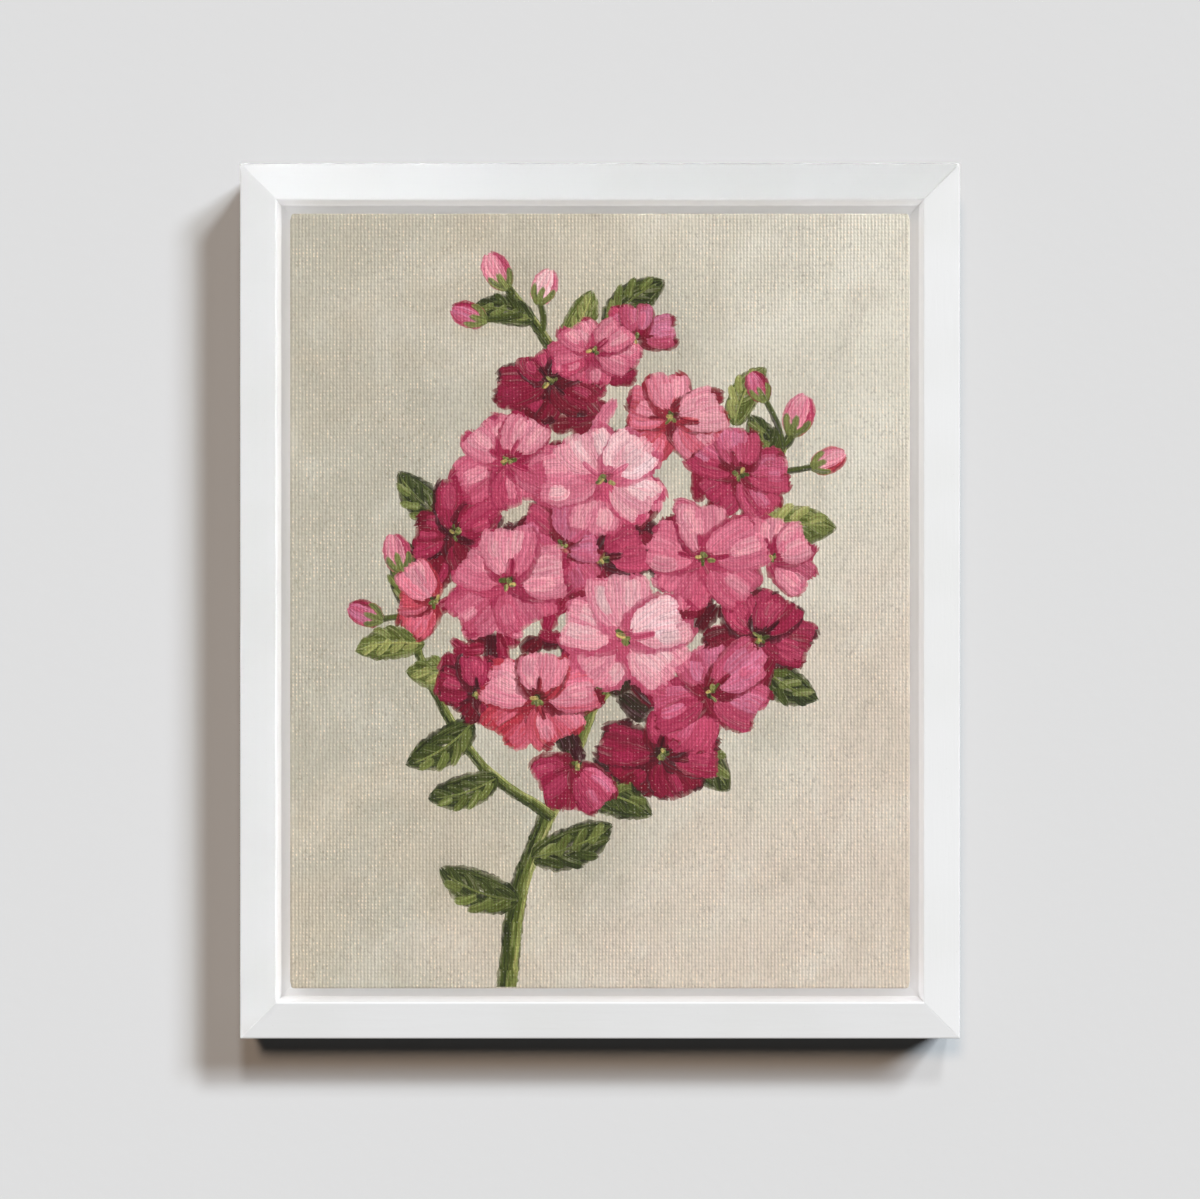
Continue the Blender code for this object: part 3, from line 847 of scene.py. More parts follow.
@dataclass
class StretchedCanvas:
    """The cloth: a ribbed front, its wrapped edges and the raw margin behind."""

    layout: Layout
    weave: Weave
    thick: float = 0.0005
    edge_radius: float = 0.0008
    corner_radius: float = 0.0015
    flange: float = 0.0180
    rib_relief: float = 0.00005
    mark_relief: float = 0.00002
    fade_width: float = 0.0012
    columns_per_rib: int = 3
    rows: int = 112
    marks: int = 230
    seed: int = 11

    def grid_lines(self) -> tuple[np.ndarray, np.ndarray]:
        """The grid's lines across the flat front, with the ribs' tops on every third one."""
        half_x = self.layout.canvas_half_width - self.edge_radius
        half_z = self.layout.canvas_half_height - self.edge_radius
        step = self.weave.rib_pitch / self.columns_per_rib
        count = int(half_x / step)
        xs = np.arange(-count, count + 1) * step
        xs = np.concatenate([[-half_x], xs[1:-1], [half_x]])
        return xs, np.linspace(-half_z, half_z, self.rows + 1)

    def brushwork(self, x: np.ndarray, z: np.ndarray) -> np.ndarray:
        """Soft broad marks of the ground, from -1 to 1, as a sum of faded strokes.

        Args:
            x, z: places on the front, from its middle.

        Returns:
            The marks' strength at each place.
        """
        draw = np.random.default_rng(self.seed)
        total = np.zeros_like(x)
        for _ in range(self.marks):
            centre_x = draw.uniform(-1, 1) * self.layout.canvas_half_width
            centre_z = draw.uniform(-1, 1) * self.layout.canvas_half_height
            angle = draw.normal(0.9, 0.7)
            half_long, half_wide = draw.uniform(0.010, 0.026), draw.uniform(0.0035, 0.0065)
            along = ((x - centre_x) * math.cos(angle) + (z - centre_z) * math.sin(angle)) / half_long
            aside = ((z - centre_z) * math.cos(angle) - (x - centre_x) * math.sin(angle)) / half_wide
            mark = np.clip(1 - along**4, 0, 1) * np.clip(1 - aside**4, 0, 1)
            streaks = 0.75 + 0.25 * np.sin(aside * 9 + draw.uniform(0, 6))
            total = total * (1 - 0.7 * mark) + mark * streaks * draw.choice([-1, 1]) * draw.uniform(0.2, 0.9)
        return np.clip(total, -1, 1)

    def front(self) -> tuple[np.ndarray, np.ndarray, tuple[int, int]]:
        """The front's points row by row, each one's brushwork, and the grid's size."""
        xs, zs = self.grid_lines()
        x, z = np.meshgrid(xs, zs)
        marks = self.brushwork(x, z)
        ribs = 0.5 + 0.5 * np.cos(2 * math.pi * x / self.weave.rib_pitch)
        near_edge = np.minimum(x - xs[0], xs[-1] - x)
        near_edge = np.minimum(near_edge, np.minimum(z - zs[0], zs[-1] - z))
        fade = np.clip(near_edge / self.fade_width, 0, 1)
        lift = (ribs * self.rib_relief + (marks - 1) * self.mark_relief) * fade
        depth = self.layout.canvas_front_y + (self.rib_relief - lift) * fade
        points = np.stack([x, depth, z + self.layout.middle.z], -1).reshape(-1, 3)
        return points, marks.ravel(), (len(zs), len(xs))

    def edge_ring(self, rows: int, columns: int) -> np.ndarray:
        """Indices of the front's outermost points, in order round it."""
        index = np.arange(rows * columns).reshape(rows, columns)
        return np.concatenate([index[0, :-1], index[:-1, -1], index[-1, :0:-1], index[:0:-1, 0]])

    def ring_at(self, ring: np.ndarray, inset: float, depth: float) -> np.ndarray:
        """The front's rim carried to another inset and depth, with its corners rounded.

        Args:
            ring: the rim's points on the front.
            inset: how far in from the canvas's outer sides the new ring lies.
            depth: its Y.

        Returns:
            The new ring's points.
        """
        half = np.array([self.layout.canvas_half_width, self.layout.canvas_half_height])
        flat = ring[:, [0, 2]] - np.array([0.0, self.layout.middle.z])
        flat = flat / (half - self.edge_radius) * (half - inset)
        radius = max(self.corner_radius - inset, 0.0002)
        core = np.clip(flat, -(half - inset - radius), half - inset - radius)
        off = flat - core
        length = np.linalg.norm(off, axis=1, keepdims=True)
        corner = (np.abs(off) > TINY).all(1, keepdims=True)
        flat = np.where(corner, core + off / np.maximum(length, TINY) * radius, flat)
        return np.stack([flat[:, 0], np.full(len(flat), depth), flat[:, 1] + self.layout.middle.z], -1)

    def wrap(self) -> list[tuple[float, float, int]]:
        """The cloth's way round the stretcher: inset, depth and finish of each ring after the front."""
        front, back = self.layout.canvas_front_y, self.layout.canvas_back_y
        r, thick = self.edge_radius, self.thick
        steps = [(*p, 0) for p in arc((r, front + r), r, 262, 180, 5)]
        steps += [(0.0, front + share * (back - front), 0) for share in (0.3, 0.6, 0.85)]
        steps += [(*p, 1) for p in arc((thick, back - thick), thick * 0.98, 180, 90, 3)]
        steps += [(self.flange * share, back, 1) for share in (0.4, 0.8, 1.0)]
        steps += [(self.flange, back - thick, 1), (thick * 1.6, back - thick, 1)]
        steps += [(thick, back - thick * 1.6, 1), (thick, front + r, 1), (r, front + thick, 1)]
        return steps

    def build(self) -> None:
        """Makes the cloth and dresses it."""
        points, marks, (rows, columns) = self.front()
        index = np.arange(rows * columns).reshape(rows, columns)
        quads = np.stack([index[:-1, :-1], index[:-1, 1:], index[1:, 1:], index[1:, :-1]], -1)
        faces = [tuple(q) for q in quads.reshape(-1, 4)]
        finish = [0] * len(faces)
        ring = self.edge_ring(rows, columns)
        rim, count = points[ring], len(ring)
        blocks, last = [points], ring
        for number, (inset, depth, look) in enumerate(self.wrap()):
            fresh = len(points) + number * count + np.arange(count)
            blocks.append(self.ring_at(rim, inset, depth))
            shifted, fresh_shifted = np.roll(last, -1), np.roll(fresh, -1)
            faces += list(zip(shifted, last, fresh, fresh_shifted))
            finish += [look] * count
            last = fresh
        faces.append(tuple(last[::-1]))
        finish.append(1)
        piece = add_mesh("canvas_cloth", np.concatenate(blocks), faces, crease=60.0)
        face_out(piece)
        total = len(piece.data.vertices)
        stored = np.zeros(total, np.float32)
        stored[: len(marks)] = marks
        piece.data.attributes.new("brushwork", "FLOAT", "POINT").data.foreach_set("value", stored)
        halves = (self.layout.canvas_half_width, self.layout.canvas_half_height)
        ground = OilGround(self.weave, *halves, self.layout.middle.z)
        finishes = [ground.material(), RawCloth(self.weave).material()]
        seat(piece, "painted_canvas", "canvas", materials=finishes)
        piece.data.polygons.foreach_set("material_index", finish)


@dataclass
class CornerFolds:
    """The tucked cloth at the canvas's four corners behind."""

    layout: Layout
    weave: Weave
    thick: float = 0.00026
    edge: float = 0.00008
    outline: tuple[Point, ...] = ((0.0025, 0.0020), (0.0176, 0.0171), (0.0176, 0.0090), (0.0140, 0.0020))

    def build(self) -> None:
        """Makes and dresses a flap at each corner."""
        finish = RawCloth(self.weave).material()
        back = self.layout.canvas_back_y
        half_x, half_z = self.layout.canvas_half_width, self.layout.canvas_half_height
        for number, (sx, sz) in enumerate(((1, 1), (1, -1), (-1, -1), (-1, 1))):
            plan = [(sx * (half_x - a), self.layout.middle.z + sz * (half_z - b)) for a, b in self.outline]
            flap = prism(f"corner_fold_{number + 1}", plan, back - self.thick, back + self.thick)
            soften(flap, self.edge)
            seat(flap, "painted_canvas", materials=[finish])


@dataclass
class StretcherBars:
    """The four pine bars under the cloth: a bead outside, a front that falls away, slots for the keys."""

    layout: Layout
    bead: float = 0.0040
    fall: float = 0.0014
    edge: float = 0.0006
    groove: float = 0.00012
    key_clearance: float = 0.0003

    def profile(self, low: Vector, high: Vector) -> list[Point]:
        """A bar's section, as inset from the outer edge and depth.

        Args:
            low, high: the corners of the top bar's box.

        Returns:
            The section's points.
        """
        wide, front, back = high.z - low.z, low.y, high.y
        corners = [(0, back), (0, front), (self.bead, front), (wide, front + self.fall), (wide, back)]
        return rounded(corners, [self.edge] * len(corners), 3)

    def build(self, keys: "CornerKeys") -> None:
        """Makes the bars and cuts the keys' slots.

        Args:
            keys: the keys, which give the slots' shapes.
        """
        low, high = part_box("stretcher_top")
        section = self.profile(low, high)
        half_level, half_upright = high.x, high.z - self.layout.middle.z
        for side in SIDES:
            halves = (half_upright, half_level) if side.upright else (half_level, half_upright)
            stick = MitredMember(side, section, *halves, self.layout.middle, self.groove, 5)
            bar = stick.build(f"stretcher_bar_{side.name}")
            across = [key for key in keys.places() if key.upright is not side.upright]
            near = [key for key in across if side.name in key.corner]
            carve(bar, [keys.wedge(key, f"slot_{key.node}", self.key_clearance) for key in near])
            bar.data.set_sharp_from_angle(angle=math.radians(MITRE_CREASE))
            pine = Timber("raw_pine", side.axis, linear(228, 200, 156), linear(198, 156, 104)).material()
            seat(bar, "stretcher_pine", f"stretcher_{side.name}", materials=[pine])


@dataclass(frozen=True)
class KeyPlace:
    """One key of a corner."""

    corner: str
    upright: bool

    @property
    def node(self) -> str:
        """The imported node's name."""
        return f"key_{self.corner}_{'upright' if self.upright else 'level'}"


@dataclass
class CornerKeys:
    """The beech wedges, two to a corner, half in a bar and half in the open."""

    layout: Layout
    tip_share: float = 0.643
    edge: float = 0.00025
    ring_scale: float = 95.0

    def places(self) -> Iterator[KeyPlace]:
        """Every key."""
        for corner in CORNERS:
            for upright in (False, True):
                yield KeyPlace(corner, upright)

    def wedge(self, key: KeyPlace, name: str, grow: float = 0.0) -> Piece:
        """A key's tapered shape.

        Args:
            key: which key it is.
            name: the object's name.
            grow: how far every side lies outside the key's own.

        Returns:
            The new object.
        """
        low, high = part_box(key.node)
        middle = (low + high) / 2
        half_x, half_z = (high.x - low.x) / 2 + grow, (high.z - low.z) / 2 + grow
        sx, sz = math.copysign(1, middle.x), math.copysign(1, middle.z - self.layout.middle.z)
        slim = 1 - 2 * self.tip_share
        outline = [(1, 1), (slim, 1), (-1, -1), (1, -1)]
        if not key.upright:
            outline = [(b, a) for a, b in outline]
        plan = [(middle.x + sx * a * half_x, middle.z + sz * b * half_z) for a, b in outline]
        return prism(name, plan, low.y - grow, high.y + grow)

    def build(self) -> None:
        """Makes and dresses the keys."""
        pale, dark = linear(214, 172, 128), linear(178, 128, 84)
        beech = [Timber("beech", axis, pale, dark, self.ring_scale).material() for axis in GrainAxis]
        for key in self.places():
            piece = self.wedge(key, key.node.replace("key", "wedge"))
            soften(piece, self.edge)
            seat(piece, "key_beech", key.node, materials=[beech[key.upright]])


@dataclass
class Fixings:
    """The zinc-plated staples, screws and V-nails."""

    layout: Layout
    wire: float = 0.0003
    shoulder: float = 0.0008
    screw_head: float = 0.0016
    shank: float = 0.0012
    thread: float = 0.0003
    thread_pitch: float = 0.0009
    cross_arm: float = 0.0017
    cross_half_width: float = 0.00032
    cross_depth: float = 0.0009
    nail_thick: float = 0.0007
    slack: float = 0.0001
    cut_past: float = 0.002
    sides: int = 40
    seed: int = 3

    def staple(self, node: str, upright: bool, lean: float) -> Piece:
        """A bent wire with two legs.

        Args:
            node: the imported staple.
            upright: whether its crown runs along Z.
            lean: how far it is turned out of line, in radians.

        Returns:
            The new object.
        """
        low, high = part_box(node)
        middle = (low + high) / 2
        half = (high.z - low.z if upright else high.x - low.x) / 2 - self.wire
        crown, r = high.y - self.wire, self.shoulder
        path = [(-half, low.y), (-half, (low.y + crown) / 2), *arc((r - half, crown - r), r, 180, 90, 4)]
        path += [(-u, y) for u, y in reversed(path)]
        line = np.array(path)
        way = np.gradient(line, axis=0)
        way /= np.linalg.norm(way, axis=1, keepdims=True)
        turns = np.linspace(0, 2 * math.pi, 10, endpoint=False)
        loops = []
        for (u, y), (du, dy) in zip(line, way):
            along = u - dy * self.wire * np.cos(turns)
            aside = self.wire * np.sin(turns)
            deep = y + du * self.wire * np.cos(turns)
            across = along * math.cos(lean) - aside * math.sin(lean)
            beside = along * math.sin(lean) + aside * math.cos(lean)
            x, z = (beside, across) if upright else (across, beside)
            loops.append(np.stack([middle.x + x, deep, middle.z + z], -1))
        piece = add_mesh(node.replace("staple", "wire_staple"), *lofted(loops), crease=50.0)
        face_out(piece)
        return piece

    def screw(self, node: str, spin: float) -> Piece:
        """A pan-headed wood screw with a crossed slot.

        Args:
            node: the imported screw.
            spin: how far its cross is turned, in radians.

        Returns:
            The new object.
        """
        low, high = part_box(node)
        x, z = spot(low, high)
        radius, crown = (high.x - low.x) / 2, high.y
        under = crown - self.screw_head
        dome = domed(radius, crown, self.screw_head * 0.62)
        profile = [*dome, (radius, under), (self.shank, under)]
        ridges = int((under - low.y - 2 * self.shank) / self.thread_pitch)
        for k in range(ridges):
            level = under - (k + 0.5) * self.thread_pitch
            profile += [(self.shank - self.thread, level), (self.shank, level - self.thread_pitch / 2)]
        profile += [(self.shank - self.thread, low.y + 2 * self.shank), (self.shank / 4, low.y)]
        piece = lathed(node.replace("screw", "wood_screw"), profile, x, z, self.sides)
        cutters = []
        for turn in (spin, spin + math.pi / 2):
            along = Vector((math.cos(turn), math.sin(turn))) * self.cross_arm
            aside = Vector((-math.sin(turn), math.cos(turn))) * self.cross_half_width
            ends = [a * along + b * aside for a, b in ((1, 1), (-1, 1), (-1, -1), (1, -1))]
            plan = [(x + end.x, z + end.y) for end in ends]
            cutters.append(prism("cross_slot", plan, crown - self.cross_depth, crown + self.slack * 5))
        carve(piece, cutters)
        piece.data.set_sharp_from_angle(angle=math.radians(35))
        return piece

    def bracket(self, corner: str, name: str, grow: float = 0.0, rise: float = 0.0) -> Piece:
        """The L of a V-nail.

        Args:
            corner: the frame's corner.
            name: the object's name.
            grow: how far its sides lie outside the nail's own.
            rise: how far it stands further back than the nail.

        Returns:
            The new object.
        """
        low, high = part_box(f"v_nail_{corner}")
        sx, sz = (1 if "right" in corner else -1), (1 if "top" in corner else -1)
        x, z = (high.x if sx > 0 else low.x), (high.z if sz > 0 else low.z)
        near, thick, far = -grow, self.nail_thick + grow, high.x - low.x + grow
        outline = [(near, near), (near, far), (thick, far), (thick, thick), (far, thick), (far, near)]
        plan = [(x - sx * a, z - sz * b) for a, b in outline]
        return prism(name, plan, low.y - grow, high.y + rise)

    def room_in_rail(self, side: Side) -> list[Piece]:
        """Cutters for what is let into a rail: two V-nails, and on the upright rails two screw heads.

        Args:
            side: the rail's side.

        Returns:
            The cutters.
        """
        corners = [corner for corner in CORNERS if side.name in corner]
        cutters = [self.bracket(corner, "nail_slot", self.slack, self.cut_past) for corner in corners]
        for level in ("upper", "lower") if side.upright else ():
            low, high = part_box(f"screw_{side.name}_{level}")
            radius, bottom = (high.x - low.x) / 2 + self.slack, high.y - self.screw_head - self.slack
            profile = [(radius, self.layout.back_y + self.cut_past), (radius, bottom)]
            cutters.append(lathed("counterbore", profile, *spot(low, high), self.sides))
        return cutters

    def build(self) -> None:
        """Makes and dresses every fixing."""
        draw = np.random.default_rng(self.seed)
        zinc = PlatedMetal("bright_zinc", linear(196, 198, 202), linear(132, 130, 126)).material()
        for side in SIDES:
            for number in range(5 if side.upright else 4):
                node = f"staple_{side.name}_{number + 1}"
                staple = self.staple(node, side.upright, draw.normal(0, 0.03))
                seat(staple, "fixing_steel", node, materials=[zinc])
        for side in ("left", "right"):
            for level in ("upper", "lower"):
                node = f"screw_{side}_{level}"
                screw = self.screw(node, draw.uniform(0, math.pi / 2))
                seat(screw, "fixing_steel", node, materials=[zinc])
        for corner in CORNERS:
            nail = self.bracket(corner, f"bent_nail_{corner}")
            soften(nail, self.slack)
            seat(nail, "fixing_steel", f"v_nail_{corner}", materials=[zinc])


@dataclass
class SawtoothHanger:
    """The brass-plated hanger with its teeth, and the two nails through its feet."""

    bridge: float = 0.0280
    ramp: float = 0.0020
    pitch: float = 0.0024
    depth: float = 0.0015
    teeth: int = 9
    edge: float = 0.00016
    foot_corner: float = 0.0018
    head_height: float = 0.0006
    nail_radius: float = 0.0006
    nail_sides: int = 32

    def stations(self, half: float) -> np.ndarray:
        """Places along the hanger where its section is drawn."""
        notches = np.arange(1 - self.teeth, self.teeth) * self.pitch / 2
        ramps = self.bridge / 2 + self.ramp * np.linspace(0, 1, 7)
        ends = half - self.foot_corner * (1 - np.sin(np.linspace(0, math.pi / 2, 6)))
        outer = np.concatenate([ramps, ends])
        return np.unique(np.round(np.concatenate([notches, outer, -outer]), 6))

    def loop(self, x: float, low: Vector, high: Vector) -> np.ndarray:
        """The plate's section at one station.

        Args:
            x: the station.
            low, high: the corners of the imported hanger's box.

        Returns:
            The section's points.
        """
        thick = 2 * high.y
        foot = low.y + thick / 2
        rise = min(max((self.bridge / 2 + self.ramp - abs(x)) / self.ramp, 0.0), 1.0)
        middle = foot * (1 - rise * rise * (3 - 2 * rise))
        toothed = abs(x) < (self.teeth - 1) * self.pitch / 2 * 1.001
        bottom = -self.depth * (1 - abs(2 * ((x / self.pitch) % 1) - 1)) if toothed else 0.0
        past = max(abs(x) - (high.x - self.foot_corner), 0.0)
        tuck = self.foot_corner - math.sqrt(max(self.foot_corner**2 - past**2, 0.0))
        bottom, top = bottom + tuck, high.z - tuck
        half, r = thick / 2, self.edge
        section = [(-half, bottom + r), (-half + r, bottom), (half - r, bottom), (half, bottom + r),
                   (half, top - r), (half - r, top), (-half + r, top), (-half, top - r)]
        return np.array([(x, middle + y, z) for y, z in section])

    def build(self) -> None:
        """Makes and dresses the hanger and its nails."""
        low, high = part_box("hanger")
        brass = PlatedMetal("brass_plate", linear(224, 196, 138), linear(176, 146, 96), 0.30).material()
        sections = [self.loop(x, low, high) for x in self.stations(high.x)]
        plate = add_mesh("sawtooth_plate", *lofted(sections), crease=40.0)
        face_out(plate)
        seat(plate, "hanger_brass", "hanger", materials=[brass])
        thin = self.nail_radius
        for side in ("left", "right"):
            low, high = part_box(f"hanger_nail_{side}")
            radius, under = (high.x - low.x) / 2, high.y - self.head_height
            dome = domed(radius, high.y, self.head_height * 0.8)
            shank = [(thin, under), (thin, low.y + 2 * thin), (thin / 4, low.y)]
            profile = [*dome, (radius * 0.97, under), *shank]
            nail = lathed(f"round_nail_{side}", profile, *spot(low, high), self.nail_sides)
            seat(nail, "hanger_brass", f"hanger_nail_{side}", materials=[brass])


@dataclass
class WallBumpers:
    """The two soft pads at the frame's foot."""

    top_share: float = 0.71
    skirt: float = 0.0006
    sides: int = 40

    def build(self) -> None:
        """Makes and dresses the pads."""
        rubber = ClearRubber().material()
        for side in ("left", "right"):
            low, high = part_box(f"bumper_{side}")
            radius = (high.x - low.x) / 2
            top, face, foot = radius * self.top_share, high.y, low.y
            pillow = [(top * 0.1, face), (top * 0.86, face)]
            pillow += [(top, face - 0.00012), (top * 1.05, face - 0.0004)]
            rim = [(radius * 0.95, foot + self.skirt * 1.4), (radius, foot + self.skirt)]
            rim += [(radius, foot + 0.0001), (radius * 0.98, foot)]
            pad = lathed(f"soft_bumper_{side}", pillow + rim, *spot(low, high), self.sides)
            seat(pad, "bumper_rubber", f"bumper_{side}", materials=[rubber])


class Pigment(Enum):
    """The paints on the palette, as display colours."""

    SHELL = (250, 212, 214)
    PALE_PINK = (240, 172, 182)
    LILAC_PINK = (214, 128, 158)
    PINK = (224, 124, 148)
    ROSE = (200, 74, 108)
    CORAL = (208, 62, 78)
    DEEP_ROSE = (160, 26, 68)
    CRIMSON = (120, 6, 32)
    WINE = (62, 4, 18)
    YELLOW_GREEN = (172, 174, 100)
    SAGE = (132, 142, 74)
    OLIVE = (84, 96, 34)
    DARK_GREEN = (40, 48, 18)
    STRAW = (218, 198, 116)

    @property
    def colour(self) -> Colour:
        """The linear colour."""
        return linear(*self.value)


class Load(float, Enum):
    """How thick the paint lies on the brush, in metres."""

    BED = 0.00008
    THIN = 0.00009
    EYE = 0.00010
    SOFT = 0.00011
    BODY = 0.00012
    FIRM = 0.00013
    DAB = 0.00017
    LIGHT = 0.00018


@dataclass(frozen=True)
class Stroke:
    """One brush mark: a bent path on the canvas, its width and the two paints on the brush.

    Its lead and its tail say how broad its two ends are, as shares of the width.
    """

    start: Point
    bend: Point
    end: Point
    width: float
    first: Colour
    second: Colour
    load: Load
    lead: float = 0.55
    tail: float = 0.45


class WetSurface:
    """How high the paint already stands over the canvas and what colour it has, cell by cell."""

    def __init__(self, half_width: float, half_height: float, ground: Colour, cell: float = 0.0004,
                 limit: float = 0.0009) -> None:
        """Starts with a bare canvas of the ground's colour."""
        self.limit = limit
        self.cell = cell
        self.half = np.array([half_width, half_height])
        self.size = np.ceil(self.half * 2 / cell).astype(int) + 1
        self.level = np.zeros(self.size)
        self.tint = np.ones((*self.size, 3)) * np.array(ground)

    def cells(self, x: np.ndarray, z: np.ndarray) -> tuple[np.ndarray, np.ndarray]:
        """The cell that each place lies in."""
        column = np.clip(((x + self.half[0]) / self.cell).astype(int), 0, self.size[0] - 1)
        row = np.clip(((z + self.half[1]) / self.cell).astype(int), 0, self.size[1] - 1)
        return column, row

    def highest(self, x: np.ndarray, z: np.ndarray, reach: float) -> np.ndarray:
        """The highest paint within reach of each place."""
        best = np.zeros_like(x)
        for dx in (-reach, 0.0, reach):
            for dz in (-reach, 0.0, reach):
                best = np.maximum(best, self.level[self.cells(x + dx, z + dz)])
        return best

    def raise_to(self, x: np.ndarray, z: np.ndarray, height: np.ndarray, colour: np.ndarray) -> None:
        """Notes that paint of this colour now stands at least so high at these places."""
        places = self.cells(x, z)
        np.maximum.at(self.level, places, height)
        self.tint[places] = colour

    def pressed(self, height: np.ndarray) -> np.ndarray:
        """The real height of layers that the brush presses thinner the more of them there are."""
        return self.limit * (1 - np.exp(-height / self.limit))


@dataclass
class Brush:
    """Lays strokes as thin raised skins, each over all that was painted before it."""

    surface: WetSurface
    draw: np.random.Generator
    spacing: float = 0.0010
    across: Sequence[float] = (-1.0, -0.84, -0.5, -0.15, 0.2, 0.55, 0.86, 1.0)
    margin: float = 0.0006
    sunk: float = 0.00003
    thinned: float = 0.40
    drift: float = 0.07
    blend: tuple[float, float] = (0.15, 0.80)
    points: list[np.ndarray] = field(default_factory=list)
    faces: list[np.ndarray] = field(default_factory=list)
    first: list[np.ndarray] = field(default_factory=list)
    second: list[np.ndarray] = field(default_factory=list)
    bristles: list[np.ndarray] = field(default_factory=list)
    total: int = 0

    def outline(self, stroke: Stroke) -> tuple[np.ndarray, np.ndarray, np.ndarray]:
        """The stroke's places on the canvas.

        Args:
            stroke: the mark.

        Returns:
            x, z and the length run so far, each with a row for a station and a column across.
        """
        start, bend, end = (np.array(p) for p in (stroke.start, stroke.bend, stroke.end))
        length = np.linalg.norm(bend - start) + np.linalg.norm(end - bend)
        count = int(np.clip(length / self.spacing, 5, 26))
        t = np.linspace(0, 1, count + 1)[:, None]
        line = (1 - t) ** 2 * start + 2 * t * (1 - t) * bend + t**2 * end
        tangent = 2 * (1 - t) * (bend - start) + 2 * t * (end - bend)
        tangent /= np.maximum(np.linalg.norm(tangent, axis=1, keepdims=True), TINY)
        normal = np.stack([-tangent[:, 1], tangent[:, 0]], 1)
        rise = np.clip(t / 0.16, 0, 1) ** 0.5
        fall = np.clip((1 - t) / 0.28, 0, 1) ** 0.6
        half = stroke.width / 2 * (stroke.lead + (1 - stroke.lead) * rise)
        half = half * (stroke.tail + (1 - stroke.tail) * fall)
        u = np.array(self.across)[None, :]
        wobble = 1 + self.draw.normal(0, 0.075, (count + 1, u.shape[1])) * (np.abs(u) > 0.7)
        shape = half * u * wobble
        ragged = self.draw.uniform(-0.55, 0.55, u.shape[1])[None, :] * stroke.width * 0.20
        round_start = -np.sqrt(np.clip(1 - u**2, 0, 1)) * stroke.width * 0.10 * (t < TINY)
        slip = ragged * np.clip((t - 0.72) / 0.28, 0, 1) + round_start
        x = line[:, :1] + normal[:, :1] * shape + tangent[:, :1] * slip
        z = line[:, 1:] + normal[:, 1:] * shape + tangent[:, 1:] * slip
        return x, z, t * length + slip

    def lay(self, stroke: Stroke) -> None:
        """Adds one stroke to the mesh that is being painted."""
        x, z, run = self.outline(stroke)
        half = self.surface.half - self.margin
        x, z = np.clip(x, -half[0], half[0]), np.clip(z, -half[1], half[1])
        rows, columns = x.shape
        u = np.array(self.across)
        t = np.linspace(0, 1, rows)[:, None]
        ridge = self.draw.normal(0, 0.20, columns)[None, :] * np.ones((rows, 1))
        body = (0.80 + 0.38 * np.abs(u[None, :]) ** 3 + ridge) * (0.8 + 0.35 * t)
        under = self.surface.highest(x, z, self.spacing * 0.55)
        height = under + stroke.load * self.thinned * np.clip(body, 0.35, 2.0)
        rim = np.zeros((rows, columns), bool)
        rim[0], rim[-1], rim[:, 0], rim[:, -1] = True, True, True, True
        bare = self.surface.level[self.surface.cells(x, z)]
        below = self.surface.tint[self.surface.cells(x, z)]
        shift = 1 + self.draw.normal(0, self.drift)
        tones = [np.clip(np.array(colour) * shift, 0, 1) for colour in (stroke.first, stroke.second)]
        self.note(x, z, np.where(rim, bare, height), tones[0])
        height = np.where(rim, self.surface.pressed(bare) - self.sunk, self.surface.pressed(height))
        index = self.total + np.arange(rows * columns).reshape(rows, columns)
        quads = np.stack([index[:-1, :-1], index[1:, :-1], index[1:, 1:], index[:-1, 1:]], -1).reshape(-1, 4)
        self.points.append(np.stack([x, -height, z], -1).reshape(-1, 3))
        self.faces.append(quads)
        self.total += rows * columns
        worn = np.where(rim, self.draw.uniform(*self.blend, (rows, columns)), 0.0)
        worn[:, [1, -2]] = np.maximum(worn[:, [1, -2]], self.draw.uniform(0.0, self.blend[1] / 2, (rows, 2)))
        for store, tone in zip((self.first, self.second), tones):
            mixed = tone + (below - tone) * worn[..., None]
            store.append(np.concatenate([mixed.reshape(-1, 3), np.ones((rows * columns, 1))], 1))
        seed = self.draw.uniform(-50, 50)
        lanes = u[None, :] * stroke.width / 2 + np.zeros((rows, 1))
        lot = np.full((rows, columns), seed)
        self.bristles.append(np.stack([lanes, run, lot], -1).reshape(-1, 3))

    def note(self, x: np.ndarray, z: np.ndarray, height: np.ndarray, colour: np.ndarray) -> None:
        """Raises the wet surface under a stroke, sampled finely between its points."""
        rows, columns = x.shape
        fine_rows = np.linspace(0, rows - 1, (rows - 1) * 3 + 1)
        fine_columns = np.linspace(0, columns - 1, (columns - 1) * 4 + 1)
        low_row = np.minimum(fine_rows.astype(int), rows - 2)
        low_column = np.minimum(fine_columns.astype(int), columns - 2)
        a = (fine_rows - low_row)[:, None]
        b = (fine_columns - low_column)[None, :]

        def between(values: np.ndarray) -> np.ndarray:
            """Bilinear values on the finer grid."""
            top = values[low_row][:, low_column] * (1 - b) + values[low_row][:, low_column + 1] * b
            low = values[low_row + 1][:, low_column] * (1 - b) + values[low_row + 1][:, low_column + 1] * b
            return top * (1 - a) + low * a

        self.surface.raise_to(between(x), between(z), between(height), colour)

